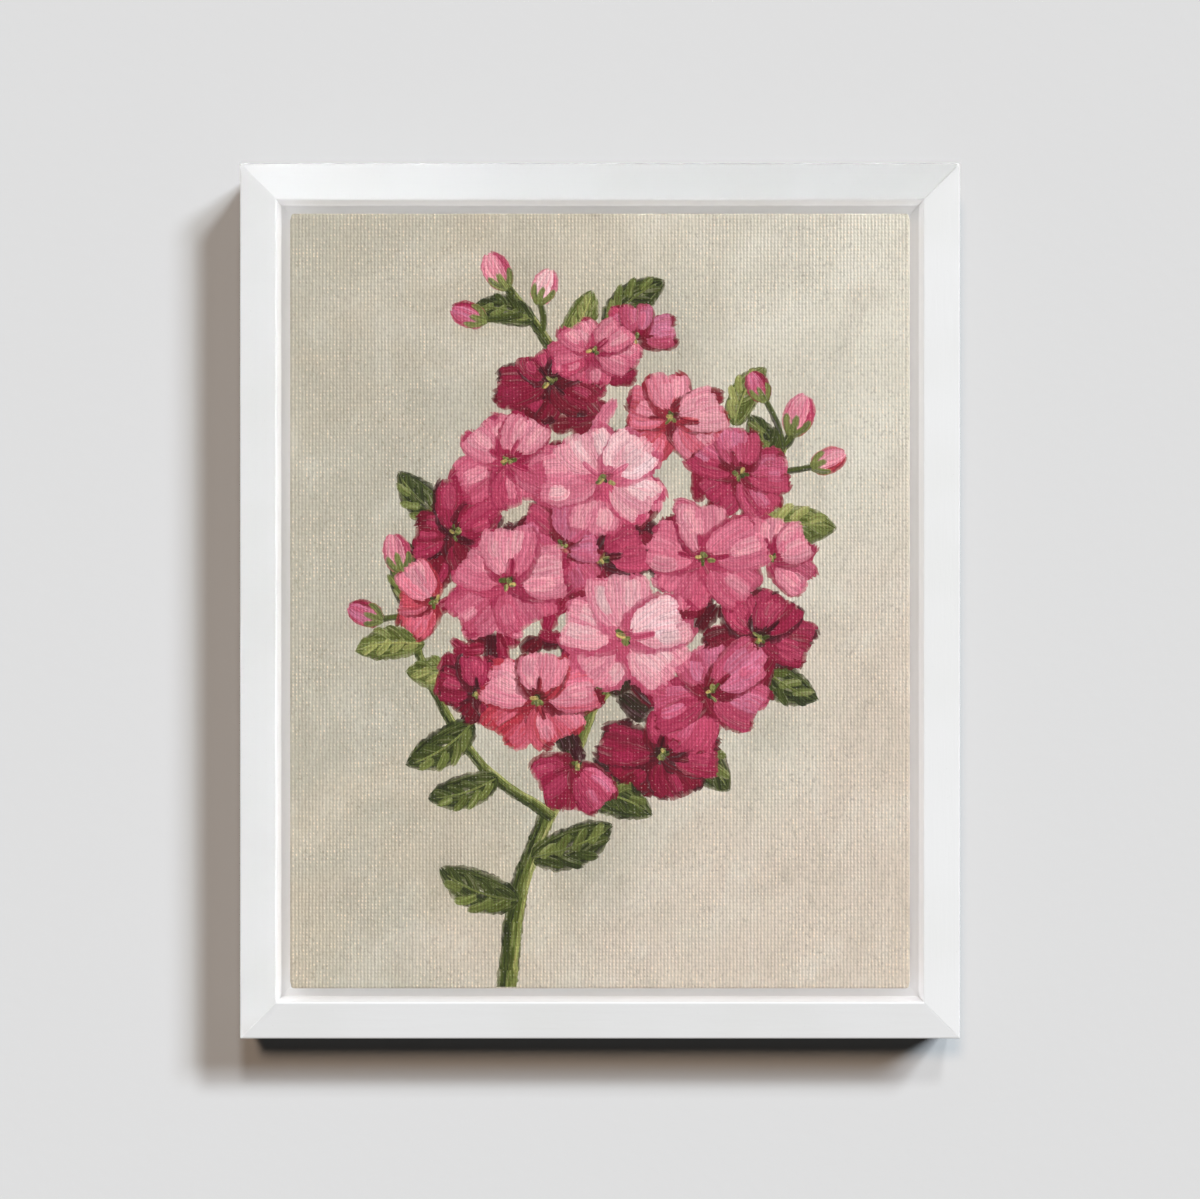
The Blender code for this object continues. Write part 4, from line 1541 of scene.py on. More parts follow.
    def lift_off(self, name: str, front_y: float, middle_z: float) -> Piece:
        """Turns what was painted since the last call into one piece.

        Args:
            name: the piece's name.
            front_y: the canvas's front.
            middle_z: the height of its middle.

        Returns:
            The new piece, with its colours stored on its points.
        """
        points = np.concatenate(self.points) + np.array([0.0, front_y, middle_z])
        piece = add_mesh(name, points, np.concatenate(self.faces), crease=75.0)
        for key, store in (("paint", self.first), ("paint_streak", self.second)):
            layer = piece.data.color_attributes.new(key, "FLOAT_COLOR", "POINT")
            layer.data.foreach_set("color", np.concatenate(store).astype(np.float32).ravel())
        lanes = piece.data.attributes.new("bristles", "FLOAT_VECTOR", "POINT")
        lanes.data.foreach_set("vector", np.concatenate(self.bristles).astype(np.float32).ravel())
        self.points, self.faces, self.first, self.second, self.bristles = [], [], [], [], []
        self.total = 0
        return piece


@dataclass(frozen=True)
class Tones:
    """The paints of one flower or leaf, from its light to its dark."""

    light: Pigment
    middle: Pigment
    dark: Pigment
    deep: Pigment

    def at(self, share: float) -> Colour:
        """The tone at a share of the way from the deepest to the lightest."""
        steps = [paint.colour for paint in (self.deep, self.dark, self.middle, self.light)]
        place = min(max(share, 0.0), 0.9999) * 3
        return blended(steps[int(place)], steps[int(place) + 1], place % 1)


class Bloom(Enum):
    """The flowers' tones."""

    PALE = Tones(Pigment.SHELL, Pigment.PALE_PINK, Pigment.PINK, Pigment.ROSE)
    PINK = Tones(Pigment.PALE_PINK, Pigment.PINK, Pigment.ROSE, Pigment.DEEP_ROSE)
    WARM = Tones(Pigment.PALE_PINK, Pigment.PINK, Pigment.CORAL, Pigment.CRIMSON)
    ROSE = Tones(Pigment.LILAC_PINK, Pigment.ROSE, Pigment.DEEP_ROSE, Pigment.CRIMSON)
    SHADE = Tones(Pigment.ROSE, Pigment.DEEP_ROSE, Pigment.CRIMSON, Pigment.WINE)


@dataclass(frozen=True)
class Blossom:
    """An open five-petalled flower, turned and tilted."""

    x: float
    z: float
    radius: float
    turn: float
    bloom: Bloom
    tilt: float = 1.0
    tilt_way: float = 90.0
    petals: int = 5
    fan: float = 288.0

    def at(self, angle: float, along: float, aside: float) -> Point:
        """A point of a petal on the canvas.

        Args:
            angle: the petal's direction in radians.
            along: how far out, as a share of the radius.
            aside: how far to the side, as a share of the radius.

        Returns:
            The place in metres from the canvas's middle.
        """
        flat_x = math.cos(angle) * along - math.sin(angle) * aside
        flat_z = math.sin(angle) * along + math.cos(angle) * aside
        way = math.radians(self.tilt_way)
        inward = flat_x * math.cos(way) + flat_z * math.sin(way)
        flat_x += (self.tilt - 1) * inward * math.cos(way)
        flat_z += (self.tilt - 1) * inward * math.sin(way)
        return (self.x + flat_x * self.radius) * MM, (self.z + flat_z * self.radius) * MM

    def petal(self, angle: float, draw: np.random.Generator) -> Iterator[Stroke]:
        """The strokes of one petal: a dark bed, a few broad dabs, and the light on them."""
        tones, wide = self.bloom.value, self.radius * MM
        lit = float(np.clip(0.5 + 0.5 * math.cos(angle - math.radians(55)) + draw.normal(0, 0.22), 0, 1))
        reach = draw.normal(1.0, 0.07)
        for aside in (-0.26, 0.25):
            yield Stroke(self.at(angle, 0.06, aside * 0.3), self.at(angle, 0.60 * reach, aside * 1.5),
                         self.at(angle, 1.04 * reach + draw.normal(0, 0.05), aside * 0.9), wide * 0.46,
                         tones.at(draw.uniform(0.0, 0.30)), tones.at(0.0), Load.BED)
        body = 0.32 + 0.46 * lit
        for aside in draw.permutation([-0.27, -0.08, 0.12, 0.28]):
            sway = aside + draw.normal(0, 0.04)
            share = body + draw.uniform(-0.06, 0.26)
            tip = reach * (0.99 - 0.5 * aside**2 + draw.normal(0, 0.04))
            yield Stroke(self.at(angle, tip, sway * 1.05), self.at(angle, 0.62, sway * 1.30),
                         self.at(angle, draw.uniform(0.14, 0.26), sway * 0.4), wide * 0.36, tones.at(share),
                         tones.at(share - 0.22), Load.BODY, 0.80, 0.30)
        for _ in range(1 + (lit > 0.35) + (lit > 0.65)):
            sway, high = draw.uniform(-0.28, 0.28), draw.uniform(0.78, 0.97) * reach
            share = min(body + draw.uniform(0.24, 0.44), 1.0)
            top, bend = self.at(angle, high, sway * 1.1), self.at(angle, high - 0.22, sway * 1.25 + 0.05)
            low = self.at(angle, high - draw.uniform(0.30, 0.56), sway * 0.7)
            yield Stroke(top, bend, low, wide * draw.uniform(0.15, 0.30), tones.at(share),
                         tones.at(share - 0.28), Load.LIGHT, 0.9, 0.35)
        if draw.random() < 0.6:
            sway, vein = draw.uniform(-0.20, 0.20), ((0.12, 0.4), (0.30, 1.0), (0.50, 1.2))
            path = [self.at(angle, along, sway * bow) for along, bow in vein]
            yield Stroke(*path, wide * draw.uniform(0.09, 0.17), tones.deep.colour, tones.dark.colour,
                         Load.THIN, 0.9, 0.3)

    def heart(self, draw: np.random.Generator) -> Iterator[Stroke]:
        """The strokes of the middle: a dark eye and a few loose green and straw dabs."""
        wide, deep = self.radius * MM, self.bloom.value.deep.colour
        olive, dark, sage = Pigment.OLIVE.colour, Pigment.DARK_GREEN.colour, Pigment.SAGE.colour
        yield Stroke(self.at(0, -0.12, 0.02), self.at(0.6, 0.0, 0.04), self.at(0.4, 0.14, 0.0), wide * 0.19,
                     blended(deep, dark, 0.5), deep, Load.EYE, 0.8, 0.6)
        for paint in (olive, dark, sage, Pigment.YELLOW_GREEN.colour, sage, Pigment.STRAW.colour):
            angle, far, long = draw.uniform(0, 2 * math.pi), draw.uniform(0.0, 0.09), draw.uniform(0.05, 0.17)
            middle, tip = self.at(angle, far + long / 2, 0.02), self.at(angle, far + long, 0.0)
            yield Stroke(self.at(angle, far, -0.03), middle, tip, wide * draw.uniform(0.055, 0.10),
                         paint, olive, Load.DAB, 0.9, 0.4)

    def strokes(self, draw: np.random.Generator) -> Iterator[Stroke]:
        """All strokes, the petals that face away first."""
        step = math.radians(self.fan) / (self.petals - 1)
        angles = [self.turn + k * step + draw.normal(0, 0.09) for k in range(self.petals)]
        for angle in sorted(angles, key=lambda a: math.cos(a - math.radians(55))):
            yield from self.petal(angle, draw)
        yield from self.heart(draw)


def turned(x: float, z: float, length: float, turn: float, along: float, aside: float) -> Point:
    """A point of a motif that stands at x, z in millimetres.

    Args:
        x, z: where the motif's foot is.
        length: its length in millimetres.
        turn: the way it points, in degrees.
        along, aside: the point's place in shares of the length.

    Returns:
        The point in metres from the canvas's middle.
    """
    cos, sin = math.cos(math.radians(turn)), math.sin(math.radians(turn))
    return (x + (cos * along - sin * aside) * length) * MM, (z + (sin * along + cos * aside) * length) * MM


@dataclass(frozen=True)
class Bud:
    """A closed bud on its stalk, with green sepals."""

    x: float
    z: float
    length: float
    turn: float
    bloom: Bloom
    stalk: Point

    def at(self, along: float, aside: float) -> Point:
        """A point of the bud, in shares of its length."""
        return turned(self.x, self.z, self.length, self.turn, along, aside)

    def strokes(self, draw: np.random.Generator) -> Iterator[Stroke]:
        """The stalk, the closed petals and the sepals over their foot."""
        wide, tones = self.length * MM, self.bloom.value
        foot = self.at(0.0, 0.0)
        root = (self.stalk[0] * MM, self.stalk[1] * MM)
        bend = ((root[0] * 0.5 + foot[0] * 0.5) + 0.002, (root[1] + foot[1]) / 2)
        olive, sage = Pigment.OLIVE.colour, Pigment.SAGE.colour
        yield Stroke(root, bend, foot, 0.0022, olive, Pigment.DARK_GREEN.colour, Load.THIN, 0.9, 0.8)
        for aside, first, second in ((-0.20, tones.dark, tones.deep), (0.20, tones.middle, tones.dark),
                                     (-0.04, tones.middle, tones.light), (0.12, tones.light, tones.middle)):
            yield Stroke(self.at(0.02, aside * 0.4), self.at(0.5, aside * 1.9), self.at(1.0, aside * 0.25),
                         wide * 0.34, first.colour, second.colour, Load.SOFT, 0.5, 0.35)
        for aside in (-0.30, 0.28, 0.02):
            tip = self.at(0.50 + draw.uniform(-0.08, 0.08), aside)
            yield Stroke(self.at(-0.06, 0.0), self.at(0.18, aside * 1.1), tip, wide * 0.20,
                         sage, olive, Load.FIRM, 0.8, 0.2)


@dataclass(frozen=True)
class Leaf:
    """An oval pointed leaf, dark on one half and light on the other."""

    x: float
    z: float
    length: float
    turn: float
    curl: float = 0.12
    pale: bool = False

    def at(self, along: float, aside: float) -> Point:
        """A point of the leaf, in shares of its length, bent along its curl."""
        aside = aside + self.curl * math.sin(math.pi * min(max(along, 0.0), 1.0))
        return turned(self.x, self.z, self.length, self.turn, along, aside)

    def strokes(self, draw: np.random.Generator) -> Iterator[Stroke]:
        """A dark bed, slanting strokes on both halves and a pale rib."""
        wide = self.length * MM
        light = (Pigment.YELLOW_GREEN if self.pale else Pigment.SAGE).colour
        middle = (Pigment.SAGE if self.pale else Pigment.OLIVE).colour
        dark = (Pigment.OLIVE if self.pale else Pigment.DARK_GREEN).colour
        for sign in (-1, 1):
            yield Stroke(self.at(0.0, 0.0), self.at(0.45, sign * 0.25), self.at(1.0, 0.0), wide * 0.24,
                         dark, middle, Load.BED, 0.3, 0.12)
        for k in range(4):
            share = 0.08 + 0.20 * k
            reach = 0.20 * math.sin(math.pi * (share + 0.16))
            for sign, first, second in ((-1, dark, middle), (1, middle, light)):
                tilt = draw.normal(0, 0.015)
                paint = blended(first, second, draw.uniform(0, 0.5))
                bend = self.at(share + 0.10, sign * reach * 0.7 + tilt)
                yield Stroke(self.at(share, 0.0), bend, self.at(share + 0.24, sign * reach), wide * 0.115,
                             paint, second, Load.BODY, 0.7, 0.3)
        yield Stroke(self.at(0.0, 0.0), self.at(0.5, 0.01), self.at(0.92, 0.0), wide * 0.030,
                     light, middle, Load.FIRM, 0.9, 0.3)


@dataclass(frozen=True)
class Stem:
    """A stem through a few points, thinner towards its tip."""

    line: tuple[Point, ...]
    foot_width: float
    tip_width: float

    def smooth(self, count: int) -> np.ndarray:
        """Points of a smooth curve through the stem's own points."""
        knots = np.array(self.line)
        knots = np.vstack([2 * knots[0] - knots[1], knots, 2 * knots[-1] - knots[-2]])
        made = []
        for place in np.linspace(0, len(self.line) - 1 - 1e-6, count):
            k, t = int(place), place - int(place)
            a, b, c, d = knots[k : k + 4]
            square, cube = 2 * a - 5 * b + 4 * c - d, 3 * b - a - 3 * c + d
            made.append(0.5 * (2 * b + (c - a) * t + square * t**2 + cube * t**3))
        return np.array(made) * MM

    def strokes(self, draw: np.random.Generator) -> Iterator[Stroke]:
        """Three passes of overlapping strokes: the dark side, the body and the light."""
        count = max(5, int(np.linalg.norm(np.diff(np.array(self.line), axis=0), axis=1).sum() / 9))
        curve = self.smooth(count * 2 + 1)
        passes = ((-0.22, 0.95, Pigment.DARK_GREEN, Pigment.OLIVE, Load.EYE),
                  (0.10, 0.66, Pigment.OLIVE, Pigment.SAGE, Load.SOFT),
                  (0.26, 0.24, Pigment.SAGE, Pigment.YELLOW_GREEN, Load.BODY))
        for aside, share, first, second, load in passes:
            for k in range(0, len(curve) - 2, 2):
                width = (self.foot_width + (self.tip_width - self.foot_width) * k / len(curve)) * MM
                a, b, c = curve[k], curve[k + 1], curve[k + 2]
                way = (c - a) / max(np.linalg.norm(c - a), 1e-9)
                off = np.array([way[1], -way[0]]) * width * (aside + draw.normal(0, 0.03))
                yield Stroke(tuple(a + off - way * 0.0012), tuple(b + off), tuple(c + off + way * 0.0012),
                             width * share, first.colour, second.colour, load, 0.8, 0.7)


@dataclass(frozen=True)
class Scumble:
    """A patch of loose dark strokes that the flowers stand against."""

    x: float
    z: float
    spread: float
    count: int
    first: Pigment
    second: Pigment

    def strokes(self, draw: np.random.Generator) -> Iterator[Stroke]:
        """Broad strokes at random places and angles."""
        for _ in range(self.count):
            far, angle = self.spread * math.sqrt(draw.random()), draw.uniform(0, 2 * math.pi)
            x, z = self.x + far * math.cos(angle), self.z + far * math.sin(angle)
            way, long = draw.uniform(0, math.pi), draw.uniform(6, 12)
            dx, dz = math.cos(way) * long / 2, math.sin(way) * long / 2
            bend = ((x + draw.normal(0, 1)) * MM, (z + draw.normal(0, 1)) * MM)
            wide, share = draw.uniform(4, 7) * MM, draw.random()
            yield Stroke(((x - dx) * MM, (z - dz) * MM), bend, ((x + dx) * MM, (z + dz) * MM), wide,
                         blended(self.first.colour, self.second.colour, share), self.second.colour, Load.BED)


@dataclass
class FlowerPainting:
    """A generic arching spray of open blossoms, buds and leaves, in thick strokes."""

    layout: Layout
    seed: int = 5
    weave: Weave = Weave(crossing=0.30, gaps=0.75)

    def passes(self) -> list[tuple[str, str, list]]:
        """What is painted, from the back to the front: piece name, slot and motifs, in millimetres."""
        pale, pink, warm, rose, dusk = Bloom.PALE, Bloom.PINK, Bloom.WARM, Bloom.ROSE, Bloom.SHADE
        stems = [Stem(*row) for row in (
            (((-30, -128), (-25, -92), (-8, -50), (6, -5), (4, 42), (-14, 80), (-30, 103)), 6.0, 2.6),
            (((0, -32), (24, -8), (48, 22), (62, 54)), 3.6, 2.0),
            (((-16, -70), (-40, -52), (-58, -20), (-64, 8)), 3.6, 2.0),
        )]
        leaves = [Leaf(*row) for row in (
            (-27, -98, 27, 158, 0.14), (-22, -84, 28, 22, -0.12), (-34, -58, 23, 196, 0.12),
            (-8, -62, 26, -18, 0.14), (22, -44, 27, -42, 0.12), (50, 22, 27, 4, 0.12, True),
            (56, 40, 22, 108, -0.14), (-58, -14, 22, 186, -0.12, True), (-62, -2, 21, 92, 0.14),
            (-22, 92, 20, 168, -0.14), (-12, 84, 20, 62, -0.12, True), (-42, -40, 25, 212, 0.14),
            (2, 90, 24, 38, 0.12), (44, 58, 21, 62, 0.14, True), (50, -19, 25, -32, -0.12),
            (-48, 26, 24, 138, 0.14), (-40, -28, 24, 168, -0.12, True),
        )]
        shadows = [Scumble(*row) for row in (
            (-4, 0, 42, 64, Pigment.CRIMSON, Pigment.WINE),
            (22, 18, 30, 36, Pigment.DEEP_ROSE, Pigment.CRIMSON),
            (-28, -14, 28, 32, Pigment.CRIMSON, Pigment.DEEP_ROSE),
            (-2, 52, 26, 26, Pigment.DEEP_ROSE, Pigment.CRIMSON),
            (2, -42, 22, 22, Pigment.DARK_GREEN, Pigment.WINE),
            (0, 10, 52, 34, Pigment.ROSE, Pigment.PINK),
        )]
        buds = [Bud(*row) for row in (
            (-31, 103, 12, 118, pink, (-29, 100)), (-20, 98, 11, 70, pale, (-19, 88)),
            (-38, 92, 11, 160, rose, (-25, 94)), (63, 55, 13, 70, pink, (60, 50)),
            (70, 44, 11, 22, warm, (57, 42)), (-65, 10, 12, 104, pink, (-64, 6)),
            (-72, -6, 11, 158, rose, (-62, -4)), (54, 66, 10, 118, rose, (60, 50)),
        )]
        back = [Blossom(*row) for row in (
            (-40, -30, 14, 0.3, dusk, 0.72, 60), (52, -12, 18, 0.9, dusk, 0.75, 120),
            (-48, 22, 17, 0.5, dusk, 0.70, 150), (46, 42, 17, 0.2, rose, 0.72, 50),
            (-16, 72, 17, 0.7, dusk, 0.72, 110), (20, -50, 19, 0.1, dusk, 0.70, 80),
            (0, 14, 18, 0.4, dusk, 0.80, 40), (-8, -54, 15, 3.6, rose, 1.0, 0, 3, 100),
            (12, 86, 12, 0.4, rose, 1.0, 0, 3, 120), (-54, 0, 13, 2.2, warm, 1.0, 0, 3, 110),
        )]
        middle = [Blossom(*row) for row in (
            (-20, -32, 19, 0.2, warm, 0.80, 100), (36, -30, 19, 0.7, rose, 0.78, 130),
            (-30, 46, 18, 1.0, pink, 0.80, 120), (24, 60, 17, 0.4, warm, 0.78, 70),
            (-2, 82, 14, 0.9, pink, 0.76, 100), (56, 14, 14, 5.6, pink, 1.0, 0, 3, 120),
            (-12, 18, 15, 1.3, rose, 0.74, 20),
        )]
        front = [Blossom(*row) for row in (
            (34, 14, 19, 0.5, pink, 0.84, 60), (-30, 6, 20, 0.1, pink, 0.84, 110),
            (2, 40, 19, 0.8, pale, 0.86, 90), (8, -12, 21, 0.35, pale, 0.88, 80),
        )]
        return [
            ("paint_stems", "leaf_paint", stems),
            ("paint_leaves", "leaf_paint", leaves),
            ("paint_shadows", "petal_paint", shadows),
            ("paint_buds", "petal_paint", buds),
            ("paint_blossoms_back", "petal_paint", back),
            ("paint_blossoms_middle", "petal_paint", middle),
            ("paint_blossoms_front", "petal_paint", front),
        ]

    def build(self) -> None:
        """Paints and dresses every pass."""
        draw = np.random.default_rng(self.seed)
        halves = (self.layout.canvas_half_width, self.layout.canvas_half_height)
        surface = WetSurface(*halves, OilGround.greige)
        brush = Brush(surface, draw)
        finish = OilPaint(self.weave).material()
        for name, slot, motifs in self.passes():
            for motif in motifs:
                for stroke in motif.strokes(draw):
                    brush.lay(stroke)
            piece = brush.lift_off(name, self.layout.canvas_front_y, self.layout.middle.z)
            seat(piece, slot, materials=[finish])
        LOG.info("highest paint: %.2f mm", surface.pressed(surface.level.max()) / MM)


class Lit(Enum):
    """What a light falls on, with the starts of the names of those pieces."""

    STAGE = ("studio",)
    PICTURE = ("",)
    CANVAS = ("canvas_cloth", "paint_")
    RAIL_TOP = ("frame_rail_top",)
    RAIL_RIGHT = ("frame_rail_right",)
    RAIL_BOTTOM = ("frame_rail_bottom",)
    RAIL_LEFT = ("frame_rail_left",)


class Rays(Enum):
    """Whether a light shows as both shade and sheen, or as shade alone."""

    ALL = True
    DULL = False


@dataclass(frozen=True)
class Softbox:
    """A far soft light.

    It stands so many degrees to the right and up as seen from the picture, and is so many degrees
    wide. Its glow is the tone that it alone gives a white surface that faces it from the wall.
    """

    name: str
    sideways: float
    upwards: float
    spread: float
    glow: Colour
    lit: Lit = Lit.PICTURE
    rays: Rays = Rays.ALL
    behind: bool = False

    def way(self) -> Vector:
        """The direction from the picture to the light."""
        right, up = (math.tan(math.radians(angle)) for angle in (self.sideways, self.upwards))
        return Vector((right, 1.0 if self.behind else -1.0, up)).normalized()

    def build(self, middle: Vector, distance: float) -> Piece:
        """Makes the light.

        Args:
            middle: the picture's middle.
            distance: how far from it the light's own mark stands.

        Returns:
            The light.
        """
        data = bpy.data.lights.new(self.name, "SUN")
        data.angle = math.radians(self.spread)
        data.energy = max(self.glow) * math.pi / abs(self.way().y)
        data.color = [part / max(self.glow) for part in self.glow]
        made = bpy.data.objects.new(self.name, data)
        bpy.context.scene.collection.objects.link(made)
        made.location = middle + self.way() * distance
        made.rotation_euler = (-self.way()).to_track_quat("-Z", "Y").to_euler()
        made.visible_glossy = self.rays.value
        return made


@dataclass(frozen=True)
class NearLamp:
    """A small lamp close to the picture, which lights the near end of a rail more than the far one."""

    name: str
    x: float
    z: float
    away: float
    radius: float
    watts: float
    lit: Lit

    def build(self, layout: Layout) -> None:
        """Makes the lamp at a place given from the picture's middle and the frame's rim."""
        data = bpy.data.lights.new(self.name, "POINT")
        data.shadow_soft_size = self.radius
        data.energy = self.watts
        made = bpy.data.objects.new(self.name, data)
        bpy.context.scene.collection.objects.link(made)
        made.location = layout.middle + Vector((self.x, layout.rim_y - self.away, self.z))
        made.visible_glossy = False


@dataclass
class Studio:
    """The pale wall and floor, the soft lights and the camera.

    The wall is dark and has bright lights of its own, so that light thrown back by the picture
    doesn't show on it. Their shares are those of the light in the wall's shadows.
    """

    layout: Layout
    wall_gap: float = 0.0001
    wall_half: float = 2.2
    floor_drop: float = 0.60
    camera_distance: float = 0.85
    picture_width: float = 0.3922
    sensor: float = 36.0
    camera_rise: float = 0.0005
    wall_gain: float = 8.1
    wall_lights: tuple[Softbox, ...] = (
        Softbox("wall_key_high", 33.9, 39.3, 8.6, (0.276, 0.301, 0.315), Lit.STAGE),
        Softbox("wall_key_low", 41.3, 32.9, 12.6, (0.311, 0.342, 0.374), Lit.STAGE),
        Softbox("wall_fill_left", -8.7, 21.6, 10.4, (0.236, 0.178, 0.134), Lit.STAGE),
        Softbox("wall_fill_high", 7.0, 36.7, 7.0, (0.146, 0.149, 0.151), Lit.STAGE),
    )
    picture_lights: tuple[Softbox, ...] = (
        Softbox("key_high", 33.9, 39.3, 9.0, (0.188, 0.200, 0.204)),
        Softbox("key_low", 41.3, 32.9, 13.0, (0.205, 0.220, 0.228)),
        Softbox("fill_left", -8.7, 21.6, 12.0, (0.124, 0.110, 0.100), rays=Rays.DULL),
        Softbox("fill_high", 7.0, 36.7, 9.0, (0.050, 0.050, 0.050), rays=Rays.DULL),
        Softbox("front_glow", 0.0, 0.0, 12.0, (0.130, 0.130, 0.130), rays=Rays.DULL),
        Softbox("canvas_glow", 0.0, 8.0, 16.0, (0.182, 0.180, 0.175), Lit.CANVAS, Rays.DULL),
        Softbox("wall_of_left", 86.0, 0.0, 3.0, (0.051, 0.051, 0.052), Lit.RAIL_LEFT, Rays.DULL),
        Softbox("wall_of_right", -86.0, 0.0, 3.0, (0.043, 0.043, 0.044), Lit.RAIL_RIGHT, Rays.DULL),
        Softbox("wall_of_top", 0.0, -79.0, 5.0, (0.104, 0.104, 0.106), Lit.RAIL_TOP, Rays.DULL),
        Softbox("wall_of_bottom", 0.0, 77.0, 5.0, (0.132, 0.132, 0.135), Lit.RAIL_BOTTOM, Rays.DULL),
        Softbox("face_of_left", -52.0, 0.0, 8.0, (0.198, 0.196, 0.194), Lit.RAIL_LEFT, Rays.DULL),
        Softbox("face_of_right", 52.0, 0.0, 8.0, (0.198, 0.198, 0.198), Lit.RAIL_RIGHT, Rays.DULL),
        Softbox("face_of_bottom", 0.0, -52.0, 8.0, (0.060, 0.060, 0.058), Lit.RAIL_BOTTOM, Rays.DULL),
        Softbox("back_key", -40.0, 35.0, 30.0, (0.450, 0.450, 0.450), behind=True),
        Softbox("back_fill", 35.0, 5.0, 40.0, (0.220, 0.220, 0.220), behind=True),
    )
    near_lamps: tuple[NearLamp, ...] = (
        NearLamp("lamp_top_left", -0.115, 0.165, 0.09, 0.02, 0.115, Lit.RAIL_TOP),
    )
    air_light: dict[str, tuple[Colour, float]] = field(default_factory=lambda: {
        "Is Diffuse Ray": ((1.0, 0.95, 0.90), 0.19),
        "Is Glossy Ray": ((1.0, 1.0, 1.0), 0.26),
        "Is Camera Ray": (linear(226, 226, 226), 1.0),
    })

    def wall_finish(self) -> Material:
        """A wall that is only seen from its front."""
        shader = Shader("studio_wall")
        place = shader.place()
        tone = shader.mix(shader.noise(place, 3.0, 2.0), (0.0910, 0.0910, 0.0910), (0.0925, 0.0925, 0.0925))
        shader.fix(Specular_IOR_Level=0.0)
        shader.finish(tone, 1.0, shader.bump(shader.noise(place, 260.0, 3.0), 0.00003))
        clear = shader.node("ShaderNodeBsdfTransparent")
        mixed = shader.node("ShaderNodeMixShader")
        facing = shader.node("ShaderNodeNewGeometry").outputs["Backfacing"]
        shader.feed(mixed.inputs[0], facing)
        shader.feed(mixed.inputs[1], shader.surface.outputs[0])
        shader.feed(mixed.inputs[2], clear.outputs[0])
        shader.feed(shader.output.inputs["Surface"], mixed.outputs[0])
        return shader.material

    def floor_finish(self) -> Material:
        """A plain matt floor, which looks as pale as the wall under the wall's own lights."""
        shader = Shader("studio_floor")
        place = shader.place()
        tone = shader.mix(shader.noise(place, 5.0, 3.0), (0.134, 0.133, 0.132), (0.142, 0.141, 0.140))
        shader.fix(Specular_IOR_Level=0.0)
        return shader.finish(tone, 1.0, shader.bump(shader.noise(place, 120.0, 3.0), 0.0001))

    def backdrop(self, wall_y: float) -> None:
        """Makes the wall just behind the bumpers, and the floor below the picture."""
        half, low = self.wall_half, self.layout.middle.z - self.layout.half_height - self.floor_drop
        high = self.layout.middle.z + self.wall_half
        upright = [(-half, wall_y, low), (half, wall_y, low), (half, wall_y, high), (-half, wall_y, high)]
        wall = add_mesh("studio_wall", np.array(upright), [(0, 1, 2, 3)])
        wall.data.materials.append(self.wall_finish())
        wall.visible_shadow = False
        wall.visible_diffuse = False
        wall.visible_glossy = False
        level = [(-half, -half, low), (half, -half, low), (half, half, low), (-half, half, low)]
        floor = add_mesh("studio_floor", np.array(level), [(0, 1, 2, 3)])
        floor.data.materials.append(self.floor_finish())
        floor.visible_diffuse = False
        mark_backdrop(wall, floor)

    def lights(self) -> None:
        """Adds the far soft lights and the air's own faint light."""
        for box in self.wall_lights:
            box.build(self.layout.middle, self.camera_distance).data.energy *= self.wall_gain
        for box in self.picture_lights:
            box.build(self.layout.middle, self.camera_distance)
        for lamp in self.near_lamps:
            lamp.build(self.layout)
        world = bpy.data.worlds.new("studio_air")
        world.use_nodes = True
        tree = world.node_tree
        tree.nodes.clear()
        path, out = tree.nodes.new("ShaderNodeLightPath"), tree.nodes.new("ShaderNodeOutputWorld")
        last = None
        for ray, (tone, strength) in self.air_light.items():
            glow = tree.nodes.new("ShaderNodeBackground")
            glow.inputs["Color"].default_value = (*tone, 1.0)
            glow.inputs["Strength"].default_value = strength
            if last:
                mixed = tree.nodes.new("ShaderNodeMixShader")
                tree.links.new(path.outputs[ray], mixed.inputs[0])
                tree.links.new(last.outputs[0], mixed.inputs[1])
                tree.links.new(glow.outputs[0], mixed.inputs[2])
            last = mixed if last else glow
        tree.links.new(last.outputs[0], out.inputs["Surface"])
        bpy.context.scene.world = world
        bpy.context.scene.view_settings.view_transform = "Standard"

    def aim_lights(self) -> None:
        """Lets each light fall only on what it is for, once all the pieces are there."""
        groups = {lit: bpy.data.collections.new(f"lit_{lit.name.lower()}") for lit in Lit}
        rails = bpy.data.collections.new("rails_alone")
        for piece in [one for one in bpy.context.scene.objects if one.type == "MESH"]:
            on_stage = piece.name.startswith(Lit.STAGE.value)
            for lit, group in groups.items():
                if piece.name.startswith(lit.value) and on_stage == (lit is Lit.STAGE):
                    group.objects.link(piece)
            if piece.name.startswith("frame_rail"):
                rails.objects.link(piece)
        for light in (*self.wall_lights, *self.picture_lights, *self.near_lamps):
            linking = bpy.data.objects[light.name].light_linking
            linking.receiver_collection = groups[light.lit]
            if light.lit.name.startswith("RAIL"):
                linking.blocker_collection = rails

    def camera(self) -> None:
        """The camera, square to the picture as in the photograph."""
        data = bpy.data.cameras.new("camera")
        data.sensor_width = self.sensor
        data.lens = self.sensor * self.camera_distance / self.picture_width
        made = bpy.data.objects.new("camera", data)
        bpy.context.scene.collection.objects.link(made)
        away, height = self.layout.rim_y - self.camera_distance, self.layout.middle.z + self.camera_rise
        made.location = (0.0, away, height)
        made.rotation_euler = (math.pi / 2, 0.0, 0.0)
        bpy.context.scene.camera = made

    def build(self, wall_y: float) -> None:
        """Sets the stage."""
        self.backdrop(wall_y + self.wall_gap)
        self.lights()
        self.camera()


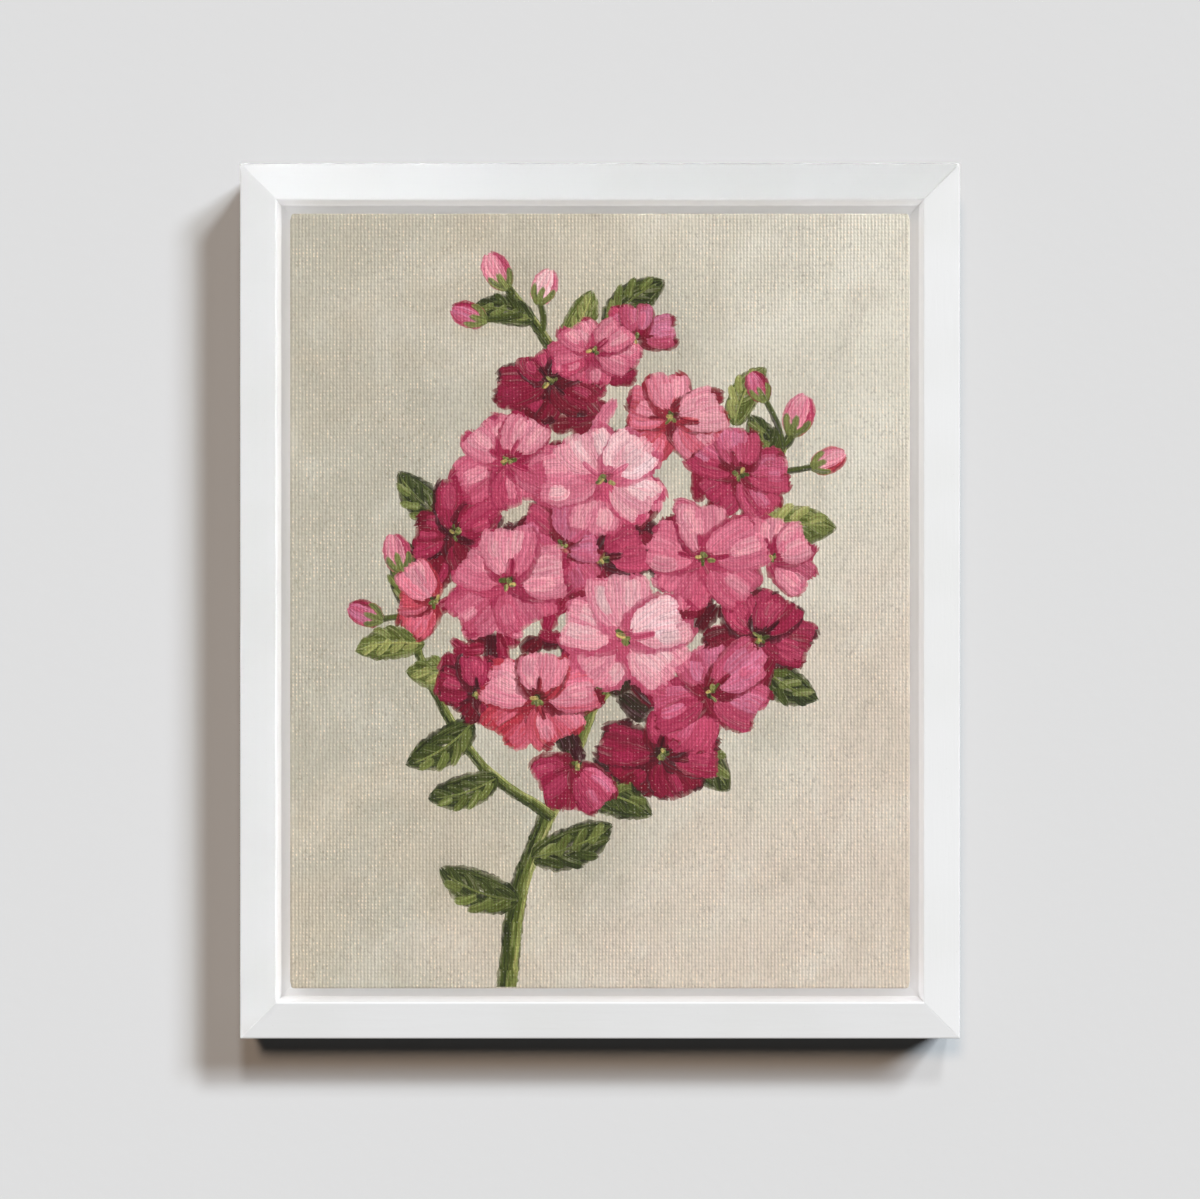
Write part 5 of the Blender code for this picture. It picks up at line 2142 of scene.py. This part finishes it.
def main() -> None:
    """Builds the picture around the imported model."""
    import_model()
    model_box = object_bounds()
    layout = Layout.from_model()
    weave = Weave()
    studio = Studio(layout)
    studio.build(model_box[1].y)
    fixings = Fixings(layout)
    FloaterFrame(layout).build(fixings)
    keys = CornerKeys(layout)
    StretcherBars(layout).build(keys)
    keys.build()
    StretchedCanvas(layout, weave).build()
    CornerFolds(layout, weave).build()
    fixings.build()
    SawtoothHanger().build()
    WallBumpers().build()
    FlowerPainting(layout).build()
    studio.aim_lights()


if __name__ == "__main__":
    logging.basicConfig(level=logging.INFO, format="%(message)s")
    main()
